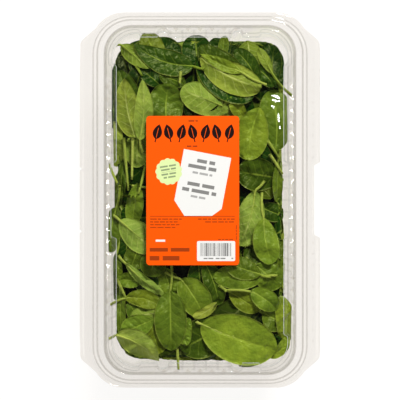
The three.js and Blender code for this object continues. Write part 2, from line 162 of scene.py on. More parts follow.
def thicken(piece, thickness, offset=-1):
    """Gives a sheet its thickness, behind its faces for -1 and in front of them for 1."""
    thick = piece.modifiers.new("thickness", "SOLIDIFY")
    thick.thickness = thickness * MM
    thick.offset = offset


def smoothstep(x, low, high):
    t = np.clip((np.asarray(x, float) - low) / (high - low), 0, 1)
    return t * t * (3 - 2 * t)


# Materials

def linear(r, g, b):
    """A colour as seen on a screen, 0 to 255, in the renderer's terms."""
    c = np.array([r, g, b]) / 255
    return (*np.where(c <= 0.04045, c / 12.92, ((c + 0.055) / 1.055) ** 2.4), 1)


class Nodes:
    """Builds a material's nodes, one call for each."""

    def __init__(self, name):
        self.material = bpy.data.materials.new(name)
        self.material.use_nodes = True
        self.tree = self.material.node_tree
        self.tree.nodes.clear()
        self.output = self.tree.nodes.new("ShaderNodeOutputMaterial")

    def add(self, kind, inputs=None, **settings):
        node = self.tree.nodes.new(kind)
        for key, value in settings.items():
            setattr(node, key, value)
        for key, value in (inputs or {}).items():
            self.put(node.inputs[key], value)
        return node

    def put(self, socket, value):
        if isinstance(value, bpy.types.NodeSocket):
            self.tree.links.new(value, socket)
        else:
            socket.default_value = value

    def math(self, operation, a, b=0.0):
        return self.add("ShaderNodeMath", {0: a, 1: b}, operation=operation).outputs[0]

    def plus(self, a, b):
        return self.math("ADD", a, b)

    def minus(self, a, b):
        return self.math("SUBTRACT", a, b)

    def times(self, a, b):
        return self.math("MULTIPLY", a, b)

    def ramp(self, value, low, high):
        """0 below low, 1 above high and smooth between them."""
        ends = {"Value": value, "From Min": low, "From Max": high}
        return self.add("ShaderNodeMapRange", ends, interpolation_type="SMOOTHSTEP").outputs["Result"]

    def blend(self, share, a, b, blend_type="MIX"):
        """From colour a to colour b."""
        inputs = {0: share, 6: a, 7: b}
        return self.add("ShaderNodeMix", inputs, data_type="RGBA", blend_type=blend_type).outputs[2]

    def noise(self, spot, scale, detail):
        inputs = {"Vector": spot, "Scale": scale, "Detail": detail}
        return self.add("ShaderNodeTexNoise", inputs).outputs["Fac"]

    def value(self, attribute):
        return self.add("ShaderNodeAttribute", attribute_name=attribute).outputs["Fac"]

    def mix(self, share, a, b):
        """From shader a to shader b."""
        return self.add("ShaderNodeMixShader", {0: share, 1: a, 2: b}).outputs[0]

    def finish(self, shader):
        self.tree.links.new(shader, self.output.inputs["Surface"])
        return self.material


# The share of the light that a clear sheet mirrors head on, and how much more at a glance
MIRROR_SHARE = 0.022
GLANCE_SHARE = 0.22
SHEET_ROUGHNESS = 0.03


def clear_plastic(name, through, bent, steep):
    """Thin clear sheet: light passes straight through it, glances off it more at low angles and is
    lost where it bends or stands steep."""
    n = Nodes(name)
    facing = n.add("ShaderNodeLayerWeight", {"Blend": 0.5}).outputs["Facing"]
    share = n.plus(n.times(n.math("POWER", facing, 5.0), GLANCE_SHARE), MIRROR_SHARE)
    tint = n.blend(n.value("bend"), (*through, 1), (*bent, 1))
    tint = n.blend(n.math("POWER", facing, 4.0), tint, (*steep, 1))
    clear = n.add("ShaderNodeBsdfTransparent", {"Color": tint}).outputs[0]
    gloss = n.add("ShaderNodeBsdfGlossy", {"Color": (1, 1, 1, 1), "Roughness": SHEET_ROUGHNESS}).outputs[0]
    return n.finish(n.mix(share, clear, gloss))


def plain(name, colour, roughness, shine=0.5):
    n = Nodes(name)
    inputs = {"Base Color": colour, "Roughness": roughness, "Specular IOR Level": shine}
    return n.finish(n.add("ShaderNodeBsdfPrincipled", inputs).outputs[0])


# Pairs of side veins, how far they sweep towards the tip as a share of the blade's length, in what curve,
# and how far those of one half are out of step with those of the other
VEIN_PAIRS = 6.5
VEIN_SWEEP = 0.2
VEIN_CURVE = 0.8
VEIN_SHIFT = 0.45
# Leaves whose tones hardly differ still differ in hue: their tones times this, without the whole part
HUE_SPREAD = 37.6
# Leaf colours from the darkest tone to the lightest
UPPER_FACE = linear(26, 62, 4), linear(160, 179, 50)
LOWER_FACE = linear(104, 128, 32), linear(176, 188, 78)
STALK = linear(120, 144, 36), linear(200, 212, 100)
# What the colours are multiplied by, from spot to spot and from leaf to leaf
MOTTLING = (0.77, 0.82, 0.75, 1), (1.14, 1.11, 1.09, 1)
HUES = (0.9, 1.05, 1.2, 1), (1.05, 0.99, 0.85, 1)
# The veins on the upper and the lower face, and the blade's edge
VEINS = linear(168, 192, 66), linear(214, 224, 130)
EDGE = linear(180, 190, 84)
LEAF_GLOSS_TINT = (0.8, 0.9, 0.36, 1)
# The noises by how many cells they have in a metre, and the height that the relief stands for, in metres
MOTTLE_SCALE, CRUMPLE_SCALE, FINE_SCALE = 90.0, 210.0, 900.0
RELIEF_HEIGHT = 0.0012
GLOW_SHARE = 0.18


def leaf_lines(n, along, across, pale, mottle):
    """Where the midrib and the side veins show. The veins are stronger on the pale face."""
    off = n.math("ABSOLUTE", across)
    swept = n.times(n.math("POWER", off, VEIN_CURVE), VEIN_SWEEP)
    step = n.times(n.minus(along, swept), VEIN_PAIRS)
    side = n.times(n.math("GREATER_THAN", across, 0.0), VEIN_SHIFT)
    wander = n.times(n.minus(mottle, 0.5), 0.7)
    phase = n.plus(n.plus(step, side), wander)
    near = n.math("ABSOLUTE", n.minus(n.math("FRACT", phase), 0.5))
    fade = n.minus(1.0, n.ramp(off, 0.55, 0.95))
    veins = n.times(n.minus(1.0, n.ramp(near, 0.02, 0.09)), fade)
    rib = n.minus(1.0, n.ramp(off, 0.02, 0.08))
    rib = n.times(rib, n.minus(1.0, n.ramp(along, 0.55, 1.0)))
    return n.math("MAXIMUM", rib, n.times(veins, n.plus(n.times(pale, 0.2), 0.3)))


def leaf_colour(n, off, lines, pale, mottle):
    """Two faces after the leaf's tone, mottled, with veins, an edge and a stalk over them, all darkened as
    painted shade where the tone is below 0.
    """
    tone = n.value("tone")
    colour = n.blend(pale, n.blend(tone, *UPPER_FACE), n.blend(tone, *LOWER_FACE))
    colour = n.blend(1.0, colour, n.blend(n.ramp(mottle, 0.3, 0.7), *MOTTLING), "MULTIPLY")
    hue = n.blend(n.math("FRACT", n.times(n.plus(tone, 2.0), HUE_SPREAD)), *HUES)
    colour = n.add("ShaderNodeVectorMath", {0: colour, 1: hue}, operation="MULTIPLY").outputs[0]
    colour = n.blend(n.times(lines, 0.48), colour, n.blend(pale, *VEINS))
    colour = n.blend(n.times(n.ramp(off, 0.93, 1.0), 0.45), colour, EDGE)
    colour = n.blend(n.value("stalk"), colour, n.blend(tone, *STALK))
    # Painted shade: below a tone of 0 the whole colour darkens, for leaves that lie deep or in hollows
    dim = n.plus(1.0, n.times(n.math("MINIMUM", tone, 0.0), 0.8))
    return n.add("ShaderNodeVectorMath", {0: colour, "Scale": dim}, operation="SCALE").outputs[0]


def leaf_material(name, shine):
    """The upper face is dark and glossy, the lower one pale and matt, with the veins drawn over both."""
    n = Nodes(name)
    place = n.add("ShaderNodeSeparateXYZ", {0: n.add("ShaderNodeUVMap", uv_map="UVMap").outputs[0]})
    across = n.times(n.minus(place.outputs["Y"], 0.5), 2.0)
    pale = n.value("pale")
    spot = n.add("ShaderNodeTexCoord").outputs["Object"]
    mottle = n.noise(spot, MOTTLE_SCALE, 3.0)
    crumple = n.noise(spot, CRUMPLE_SCALE, 2.0)
    fine = n.noise(spot, FINE_SCALE, 4.0)
    lines = leaf_lines(n, place.outputs["X"], across, pale, mottle)
    colour = leaf_colour(n, n.math("ABSOLUTE", across), lines, pale, mottle)
    rough = n.plus(n.plus(n.times(pale, 0.22), n.times(fine, 0.2)), 0.23)
    relief = n.minus(n.times(fine, 0.2), n.times(lines, 0.35))
    relief = n.plus(relief, n.times(crumple, 1.9))
    bump = n.add("ShaderNodeBump", {"Height": relief, "Strength": 0.7, "Distance": RELIEF_HEIGHT})
    inputs = {"Base Color": colour, "Roughness": rough, "Normal": bump.outputs[0]}
    inputs.update({"Specular IOR Level": shine, "Specular Tint": LEAF_GLOSS_TINT})
    body = n.add("ShaderNodeBsdfPrincipled", inputs).outputs[0]
    glow = n.add("ShaderNodeBsdfTranslucent", {"Color": colour}).outputs[0]
    return n.finish(n.mix(GLOW_SHARE, body, glow))


# The clear box: both sheets are skins between rings of matching points

class Ring:
    """Rounded rectangles with matching points. Each has stations along its sides, where a push moves
    it outwards, and a number of steps round each corner."""

    CORNER_STEPS = 14

    def __init__(self, long_stations, short_stations):
        rows = []
        for quarter, (sx, sy) in enumerate(QUARTERS):
            along_y = quarter % 2 == 0
            stations = long_stations if along_y else short_stations
            stations = stations if quarter in (0, 3) else stations[::-1]
            for u in stations:
                if along_y:
                    rows.append(("long", (sx, 0), (0, 0), (0, u), u))
                else:
                    rows.append(("short", (0, sy), (0, 0), (u, 0), u))
            for i in range(self.CORNER_STEPS + 1):
                angle = (quarter + i / self.CORNER_STEPS) * math.pi / 2
                turn = (math.cos(angle) - sx, math.sin(angle) - sy)
                rows.append(("corner", (sx, sy), turn, (0, 0), i))
        kind, halves, turn, place, u = zip(*rows)
        self.kind, self.u = np.array(kind), np.array(u, float)
        self.halves, self.turn, self.place = (np.array(part, float) for part in (halves, turn, place))
        self.out = self.halves + self.turn

    def points(self, x, y, radius, z, push=0.0):
        flat = self.halves * [x, y] + self.turn * radius + self.place + self.out * np.reshape(push, (-1, 1))
        return np.column_stack([flat, np.full(len(flat), z)])

    def flange(self, z):
        """The flange's outline, point for point with the rings."""
        edge = self.place + self.halves * [0, HALF_LENGTH]
        for k in np.flatnonzero(self.kind == "long"):
            edge[k, 0] = flange_side(self.halves[k, 0], self.u[k])
        corner = flange_corner(self.CORNER_STEPS + 1)
        for quarter, start in enumerate(np.flatnonzero((self.kind == "corner") & (self.u == 0))):
            path = corner if quarter % 2 == 0 else corner[::-1]
            edge[start:start + len(path)] = path * self.halves[start]
        return np.column_stack([edge, np.full(len(edge), z)])


# The flange: how far the fold lies inside the widest edge, the step between its two stretches, the pull
# tab with its notches, and the cut and arc of a corner
FOLD_INSET = 0.5
SET_BACK = 5
SET_BACK_HALF = 30
TAB_HALF = 26
NOTCH = 1.6
CORNER_ARC_X = 63.0
CORNER_ARC_RADIUS = 28.0
CORNER_CUT = math.radians(32)


def flange_side(side, u):
    """How far out the flange reaches on a long side: set back between the folds, notched at the tab."""
    if side > 0:
        back = (SET_BACK - FOLD_INSET) * (1 - smoothstep(abs(u), SET_BACK_HALF - 1, SET_BACK_HALF + 1))
        return HALF_WIDTH - FOLD_INSET - back
    return -HALF_WIDTH + max(0.0, NOTCH - abs(abs(u) - TAB_HALF))


def flange_corner(count):
    """A corner of the flange from the long side to the short one: straight, bend, cut and arc."""
    wing = HALF_WIDTH - FOLD_INSET
    bend = [(wing, 121.5), (wing, 127), (wing, 130), (wing - 1.2, 132.6), (wing - 3, 134.4)]
    angles = np.linspace(CORNER_CUT, math.pi / 2, count - len(bend))
    arc_y = HALF_LENGTH - CORNER_ARC_RADIUS
    arc = [(CORNER_ARC_X + CORNER_ARC_RADIUS * math.cos(a), arc_y + CORNER_ARC_RADIUS * math.sin(a))
           for a in angles]
    return np.array(bend + arc)


def soften(rows, radius, steps=4):
    """Rounds the corners of a profile whose rows are tuples of numbers, and adds how bent each row is."""
    rows = np.column_stack([np.array(rows, float), np.zeros(len(rows))])
    made = [rows[0]]
    for before, row, after in zip(rows, rows[1:], rows[2:]):
        back, ahead = before - row, after - row
        back_length = math.hypot(back[0], back[3])
        ahead_length = math.hypot(ahead[0], ahead[3])
        start = row + back * min(radius / back_length, 0.45)
        end = row + ahead * min(radius / ahead_length, 0.45)
        turn = 1 - abs(back @ ahead) / (np.linalg.norm(back) * np.linalg.norm(ahead))
        for t in np.linspace(0, 1, steps + 1):
            made.append(start * (1 - t) ** 2 + row * 2 * t * (1 - t) + end * t * t)
            made[-1][-1] = math.sin(math.pi * t) * min(1.0, turn * 4)
    made.append(rows[-1])
    return made


# The ridge round the mouth and the slope down to the flange, across the long and the short sides
RIDGE_LONG, RIDGE_SHORT = 6.4, 5.0
SLOPE_LONG, SLOPE_SHORT = 3.6, 3.0
FLANGE_LAP = 1.2


def rim_row(out_long, out_short, z):
    """A row of a sheet's profile outside the mouth."""
    return (-out_long, -out_short, MOUTH_RADIUS + out_short, z, 0, 0)


def rim_rows(lift):
    """From the ridge's outer edge down to where the flange starts."""
    foot_long, foot_short = RIDGE_LONG + SLOPE_LONG, RIDGE_SHORT + SLOPE_SHORT
    return [
        rim_row(RIDGE_LONG, RIDGE_SHORT, RIDGE_TOP + lift),
        rim_row(foot_long, foot_short, FLANGE_TOP + lift),
        rim_row(foot_long + FLANGE_LAP, foot_short + FLANGE_LAP, FLANGE_TOP + lift),
    ]


def even_row(inset, radius, z, flute=0, panel=0):
    """A row of a sheet's profile: inset x and y, radius, height and its shares of the pushes."""
    return (inset, inset, radius, z, flute, panel)


def wall_inset(z):
    """How far inside the mouth the leaning wall is at a height."""
    return DRAFT * (FLANGE_TOP - z) / (FLANGE_TOP - WALL_FOOT)


def wall_row(z, flute):
    inset = wall_inset(z)
    return even_row(inset, MOUTH_RADIUS - inset, z, flute)


def skin(name, ring, rows, flange_z, flute, panel, material, body, offset):
    """A sheet lofted through the rows and out to the flange's outline, with its thickness on one side."""
    levels, bends = [], []
    count = len(ring.kind)
    cusp = np.broadcast_to(0.5 * np.clip((-flute / FLUTE_DEPTH - 0.8) / 0.2, 0, 1), count)
    for inset_x, inset_y, radius, z, flute_share, panel_share, bend in rows:
        push = flute * flute_share + panel * panel_share
        levels.append(ring.points(MOUTH_X - inset_x, MOUTH_Y - inset_y, radius, z, push))
        bends.append(np.maximum(bend, cusp * flute_share))
    last, rim = levels[-1], ring.flange(flange_z)
    for share in (0.5, 1.0):
        levels.append(last * (1 - share) + rim * share)
        bends.append(np.zeros(count))
    faces = [list(range(count))] + ring_faces(len(levels), count, True).tolist()
    floats = {"bend": np.concatenate(bends)}
    piece = make_mesh(name, np.concatenate(levels), faces, [material], body, floats=floats)
    piece.data.polygons[0].use_smooth = False
    thicken(piece, SHEET, offset)
    return piece


def make_tray(material):
    step = FLUTE_PITCH / 6
    along = np.round(np.arange(-FLUTE_END_LONG, FLUTE_END_LONG + 0.1, step), 3)
    tab = {side * (TAB_HALF + shift) for side in (-1, 1) for shift in (-NOTCH, 0, NOTCH)}
    ring = Ring(sorted(set(along) | tab), list(np.arange(-FLUTE_END_SHORT, FLUTE_END_SHORT + 0.1, step)))
    end = np.where(ring.kind == "long", FLUTE_END_LONG, FLUTE_END_SHORT)
    wave = -FLUTE_DEPTH * (1 - np.abs(np.cos(np.pi * (end - ring.u) / FLUTE_PITCH)))
    flute = np.where(ring.kind == "corner", 0.0, wave)
    floor = wall_inset(WALL_FOOT)
    raised, foot = TRAY_LOW[2] + 3.0, SHEET + 0.2
    # From the raised floor over the foot ring, up the fluted wall and over the ridge
    rows = [
        even_row(floor + 18, 7, raised),
        even_row(floor + 14.5, 9, foot),
        even_row(floor + 4, 12, foot),
        even_row(floor + 0.6, 13.5, 2.2),
        wall_row(9, 0),
        wall_row(12, 1),
        wall_row(FLANGE_TOP - 7, 1),
        wall_row(FLANGE_TOP - 4, 0),
        even_row(0, MOUTH_RADIUS, RIDGE_TOP),
        *rim_rows(0),
    ]
    rows = soften(rows, 1.2)
    return skin("tray_sheet", ring, rows, FLANGE_TOP, flute, 0, material, "base", -1)


# The lid's panel: the swell along the middle of its long sides, the round lugs on its short ones, and
# how far its corners reach out
SWELL_HALF = 29.5
SWELL_SLOPE = 3
SWELL_OUT = 4.4
LUG_X = 30.6
LUG_RADIUS = 4.5
CORNER_OUT = 3.3
# Between which places the panel steps out to its corners, along the long and the short sides
CORNER_LONG = (110.5, 113.5)
CORNER_SHORT = (49, 51.5)
PANEL_INSET = 9.6
PANEL_RADIUS = 17.2
LEDGE_INSET = 6.2
# How wide the painted highlight along the panel's edge is
EDGE_HIGHLIGHT_WIDTH = 0.24


def panel_push(ring):
    """The panel swells out along the middle of its long sides, at its corners and at round lugs."""
    u = np.abs(ring.u)
    swell = SWELL_OUT * (1 - smoothstep(u, SWELL_HALF, SWELL_HALF + SWELL_SLOPE))
    swell += CORNER_OUT * smoothstep(u, *CORNER_LONG)
    off = np.clip(np.abs(u - LUG_X), 0, LUG_RADIUS)
    lugs = np.sqrt(LUG_RADIUS**2 - off**2) + CORNER_OUT * smoothstep(u, *CORNER_SHORT)
    return np.select([ring.kind == "long", ring.kind == "short"], [swell, lugs], CORNER_OUT)


def mirrored(stations):
    """Stations on both sides of the middle, in order."""
    return sorted({-u for u in stations} | set(stations))


def lid_ring():
    """A ring with stations where the panel or the flange bends, and some between."""
    tab = (TAB_HALF - NOTCH, TAB_HALF, TAB_HALF + NOTCH)
    swell = np.linspace(SWELL_HALF, SWELL_HALF + SWELL_SLOPE, 5)
    long = [0, 8, 16, 23, *tab, 28.6, *swell, 45, 60, 75, 90, 104, *np.linspace(*CORNER_LONG, 5)]
    lug = [LUG_X - LUG_RADIUS * math.cos(a) for a in np.linspace(0, math.pi, 11)]
    short = [0, 9, 18, *lug, 40, 46, *np.linspace(*CORNER_SHORT, 4)]
    return Ring(mirrored(long), mirrored(short))


def make_lid(material):
    ring = lid_ring()
    # From the panel down to the ledge, up the rim and over the ridge
    rows = [
        even_row(PANEL_INSET + 3, PANEL_RADIUS - 3, PANEL_UNDER, panel=1),
        even_row(PANEL_INSET, PANEL_RADIUS, PANEL_UNDER, panel=1),
        even_row(LEDGE_INSET, 19.3, LEDGE_UNDER, panel=1),
        even_row(0.9, 22.4, LEDGE_UNDER),
        even_row(0.4, 22.7, RIDGE_TOP + GAP),
        *rim_rows(GAP),
    ]
    rows = soften(rows, 0.9)
    level = FLANGE_TOP + GAP
    return skin("lid_sheet", ring, rows, level, 0, panel_push(ring), material, "cover", 1)


def make_painted_edge_highlight():
    """A fine pale strip round the panel's edge: a painted highlight where the bent sheet catches the light.
    """
    ring = lid_ring()
    low, high = PANEL_TOP - 0.1, PANEL_TOP + 0.05
    outer, inner = PANEL_INSET, PANEL_INSET + EDGE_HIGHLIGHT_WIDTH
    rows = [ring.points(MOUTH_X - inset, MOUTH_Y - inset, PANEL_RADIUS + outer - inset, z, panel_push(ring))
            for inset, z in ((outer, low), (outer, high), (inner, high), (inner, low))]
    faces = ring_faces(len(rows), len(rows[0]), closed=True).tolist()
    # Painted highlight: an opaque pale colour over the clear sheet's bend
    bright = plain("painted_edge_highlight", linear(236, 238, 232), 0.4)
    return make_mesh("panel_edge", np.concatenate(rows), faces, [bright], "cover", smooth=False)


FOLD_FILM = 0.2
FOLD_BULGE = 0.4
FOLD_REACH = (SET_BACK_HALF + 1.5, 127)


def make_fold(material):
    """The strip of sheet that bends between the two flanges where the lid turns."""
    low, high = FLANGE_TOP - SHEET / 2, FLANGE_TOP + GAP + SHEET / 2
    middle, reach = (low + high) / 2, (high - low) / 2
    angles = np.linspace(-math.pi / 2, math.pi / 2, 9)
    edge = HALF_WIDTH - FOLD_INSET
    points, faces = [], []
    for side in (-1, 1):
        ys = np.linspace(*FOLD_REACH, 12) * side
        faces += grid_faces(len(ys), len(angles), len(points), side > 0).tolist()
        points += [(edge + FOLD_BULGE * math.cos(a), y, middle + reach * math.sin(a))
                   for y in ys for a in angles]
    fold = make_mesh("fold_strip", points, faces, [material], None)
    thicken(fold, FOLD_FILM)
    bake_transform(fold)
    return fold


def dome(x, y, z, radius_x, radius_y, height, rings=4, sides=12):
    """A low closed bump on a sheet's upper face."""
    points = [(x, y, z + height)]
    for tilt in np.arange(1, rings + 1) / rings * math.pi / 2:
        for a in np.arange(sides) / sides * math.tau:
            across, along = radius_x * math.cos(a), radius_y * math.sin(a)
            out, up = math.sin(tilt), math.cos(tilt)
            points.append((x + across * out, y + along * out, z + height * up))
    faces = [[0, 1 + k, 1 + (k + 1) % sides] for k in range(sides)]
    faces += (1 + ring_faces(rings, sides, True)).tolist()
    faces.append([1 + (rings - 1) * sides + k for k in range(sides)][::-1])
    return points, faces


# How a facet falls along x and y when it mirrors the key light straight up, and how thick its thin end is
FACET_FALL = (0.13, 0.38)
FACET_FOOT = 0.04
# Creases in the lid's panel that catch the light: where, how wide and how many folds
CREASES = [(63, 84, 6.5, 5), (60.5, 77, 2.6, 2), (65, 68, 2.2, 6), (66, 60, 1.8, 2), (-63, -123, 2.6, 2)]
CREASE_PITCH = 1.25
CREASE_WIDTH = 1.2
# The shelf at the top of a flute: its height, half its width and where it starts and ends
FLUTE_TIP_LEVEL = FLANGE_TOP - 6
FLUTE_TIP_HALF = 2
FLUTE_TIP_OUTER = 0.9
FLUTE_TIP_LONG = 4.1
FLUTE_TIP_SHORT = 3.8
# The bumps on the flange, and the catch on the ledge
BUMP_X, BUMP_START, BUMP_PITCH = 94, 35.5, 9.1
CATCH_X = 77.3


def wedge(plan, level, most=math.inf):
    """A thin closed wedge on a sheet, with its upper face falling towards the key light. most is the
    highest that it may stand."""
    fall = [FACET_FALL[0] * x + FACET_FALL[1] * y for x, y in plan]
    level = min(level, most - FACET_FOOT - max(fall) + min(fall))
    points = [(x, y, level + FACET_FOOT + max(fall) - f) for (x, y), f in zip(plan, fall)]
    points += [(x, y, level) for x, y in plan]
    return points, capped_faces(2, len(plan), True)


def crease(x, y, width, folds):
    """A stack of narrow wedges, no two of one width or in one line."""
    parts = []
    for k in range(folds):
        half = width / 2 * (0.75 + 0.25 * math.cos(1.7 * k + x))
        middle = x + 0.2 * width * math.sin(2.3 * k + y)
        low = y + CREASE_PITCH * (k - folds / 2)
        high = low + CREASE_WIDTH
        plan = [(middle - half, low), (middle + half, low)]
        plan += [(middle + half * 0.7, high), (middle - half * 0.8, high)]
        parts.append(wedge(plan, PANEL_TOP - 0.02, LABEL_HIGH[2] - 0.05))
    return parts


def make_flute_tips(material):
    """The small three-sided shelf at the top of each flute."""
    parts = []
    for side in (-1, 1):
        half = side * FLUTE_TIP_HALF
        outer, inner = side * (MOUTH_X - FLUTE_TIP_OUTER), side * (MOUTH_X - FLUTE_TIP_LONG)
        for u in np.arange(-FLUTE_END_LONG + FLUTE_PITCH, FLUTE_END_LONG, FLUTE_PITCH):
            parts.append(wedge([(outer, u - half), (outer, u + half), (inner, u)], FLUTE_TIP_LEVEL))
        outer, inner = side * (MOUTH_Y - FLUTE_TIP_OUTER), side * (MOUTH_Y - FLUTE_TIP_SHORT)
        for u in np.arange(-FLUTE_END_SHORT, FLUTE_END_SHORT + 1, FLUTE_PITCH):
            parts.append(wedge([(u + half, outer), (u - half, outer), (u, inner)], FLUTE_TIP_LEVEL))
    points, faces = join(parts)
    return make_mesh("flute_tips", points, faces, [material], "base", smooth=False)


def make_bumps(material):
    """Small bumps along the folded side of the flange and a catch on the ledge of each long side."""
    level = FLANGE_TOP + GAP + SHEET
    places = [side * y for side in (-1, 1) for y in np.arange(BUMP_START, 124, BUMP_PITCH)]
    parts = [dome(BUMP_X, y, level, 0.9, 0.9, 0.5) for y in places]
    parts += [dome(side * CATCH_X, 0, LEDGE_UNDER + SHEET, 0.6, 4, 1.4) for side in (-1, 1)]
    points, faces = join(parts)
    return make_mesh("flange_bumps", points, faces, [material], "cover")


def make_creases(material):
    points, faces = join([part for place in CREASES for part in crease(*place)])
    return make_mesh("lid_creases", points, faces, [material], "cover", smooth=False)


# The label

LABEL_X, LABEL_Y = (LABEL_LOW[:2] + LABEL_HIGH[:2]) / 2
LABEL_HALF = (LABEL_HIGH[:2] - LABEL_LOW[:2]) / 2
LABEL_RADIUS = 2.8
LABEL_FACE = LABEL_HIGH[2] - 0.12
PRINT_STEP = 0.03
PAPER_ROUGHNESS, PAPER_SHINE = 0.5, 0.08
INKS = {
    "orange": (241, 84, 0),
    "black": (26, 12, 12),
    "brown": (152, 56, 10),
    "rust": (168, 62, 8),
    "white": (225, 224, 220),
    "pale_grey": (162, 161, 158),
    "grey": (126, 125, 122),
    "dark_grey": (88, 87, 86),
    "pale_green": (210, 226, 160),
    "sage": (136, 152, 112),
}


class Print:
    """Flat shapes on the label. Each is a little higher than what it is printed over."""

    def __init__(self):
        self.points, self.faces, self.inks = [], [], []

    def shape(self, ink, outline, level=1, turn=0.0, about=(0, 0)):
        c, s = math.cos(math.radians(turn)), math.sin(math.radians(turn))
        start = len(self.points)
        z = LABEL_FACE + PRINT_STEP * level
        for x, y in outline:
            dx, dy = x - about[0], y - about[1]
            self.points.append((about[0] + dx * c - dy * s, about[1] + dx * s + dy * c, z))
        self.faces.append(list(range(start, len(self.points))))
        self.inks.append(list(INKS).index(ink))

    def bar(self, ink, x0, x1, y, height, level=1, turn=0.0, about=(0, 0)):
        half = height / 2
        self.shape(ink, [(x0, y - half), (x1, y - half), (x1, y + half), (x0, y + half)], level, turn, about)

    def words(self, ink, x0, x1, y, height, seed, **where):
        """A line of print as short bars, like words too small to read."""
        draw = np.random.default_rng(seed)
        x = x0
        while x < x1 - height:
            length = min(draw.uniform(1.6, 4.4) * height, x1 - x)
            self.bar(ink, x, x + length, y, height * 0.8, **where)
            x += length + height * 0.6


def rounded(x, y, half_x, half_y, radius, steps=6):
    """The outline of a rectangle with round corners."""
    outline = []
    for quarter, (sx, sy) in enumerate(QUARTERS):
        for a in (quarter + np.arange(steps + 1) / steps) * math.pi / 2:
            outline.append((x + sx * (half_x - radius) + radius * math.cos(a),
                            y + sy * (half_y - radius) + radius * math.sin(a)))
    return outline


def leaf_outline(x, y, length, width, steps=14):
    """A plain leaf shape standing on its stalk."""
    up = np.linspace(0, 1, steps)
    half = width / 2 * np.sin(np.pi * up**0.8) ** 0.85
    left = [(x - h, y + length * t) for h, t in zip(half, up)]
    right = [(x + h, y + length * t) for h, t in zip(half, up)]
    return right + left[::-1][1:-1]


def print_leaves(sheet):
    """A row of plain leaves across the top of the label."""
    count, left, right, foot, length = 7, -40.5, 29.0, 48.0, 12.6
    pitch = (right - left) / count
    for k in range(count):
        x = left + pitch * (k + 0.5)
        tilt = 14 if k % 2 else -14
        about = (x, foot + length / 2)
        sheet.shape("black", leaf_outline(x, foot + 2.2, length, 7.6), 1, tilt, about)
        sheet.bar("black", x - 0.45, x + 0.45, foot + 1.2, 3.2, 1, tilt, about)
        sheet.bar("orange", x - 0.22, x + 0.22, foot + 7.6, 8.4, 2, tilt, about)


def print_tag(sheet):
    """The white tag, tilted a little, with its lines of print."""
    outline = [(-13.3, 42.2), (25.8, 34.7), (17.9, -7.3), (10, -13.1), (-12.9, -13.1), (-21.2, -0.2)]
    sheet.shape("white", outline, 1)
    about, turn = (4, 20), -10.5
    where = {"level": 2, "turn": turn, "about": about}
    lines = [
        ("grey", -4.5, 10.5, 31.3, 3.6), ("grey", -11, 14, 26.2, 3.6), ("pale_grey", -6.5, 10, 21.2, 2.2),
        ("grey", -9, 13.5, 11.6, 3.6), ("grey", -12.5, 16, 6.4, 3.6), ("pale_grey", -4.5, 7.8, 1.6, 2.2),
    ]
    for k, (ink, x0, x1, y, height) in enumerate(lines):
        sheet.words(ink, x0, x1, y, height, 30 + k, **where)


def print_badge(sheet):
    """A pale badge with a scalloped edge."""
    x, y, radius, scallops = -25.8, 23.5, 10.7, 13
    angles = np.linspace(0, math.tau, 8 * scallops, endpoint=False)
    reach = radius + 0.9 * np.abs(np.sin(angles * scallops / 2)) - 0.5
    outline = np.column_stack([x + reach * np.cos(angles), y + reach * np.sin(angles)])
    sheet.shape("pale_green", outline, 2)
    for k, (half, drop) in enumerate([(6.6, 4.6), (6.2, 1.9), (6.4, -1.9), (5, -4.6)]):
        sheet.words("sage", x - half, x + half, y + drop, 1.7, 50 + k, level=3, turn=9, about=(x, y))
    sheet.bar("sage", x - 6, x + 6, y, 0.2, 3, 9, (x, y))


def print_barcode(sheet):
    """A white box with plain upright bars."""
    low_x, high_x, low_y, high_y = -2.5, 29.1, -50.5, -33.9
    middle = ((low_x + high_x) / 2, (low_y + high_y) / 2)
    sheet.shape("white", rounded(*middle, (high_x - low_x) / 2, (high_y - low_y) / 2, 1.3), 1)
    draw = np.random.default_rng(5)
    x, end = 0.6, 25.8
    while x < end:
        width = draw.choice([0.28, 0.28, 0.55, 0.84])
        sheet.bar("dark_grey", x, min(x + width, end), -41.0, 10.8, 2)
        x += width + draw.choice([0.28, 0.55, 0.55, 0.84])
    for x0, x1 in ((-1.2, -0.2), (3, 11), (13, 21), (26, 27.4)):
        sheet.words("grey", x0, x1, -48.3, 1.2, 70, level=2)


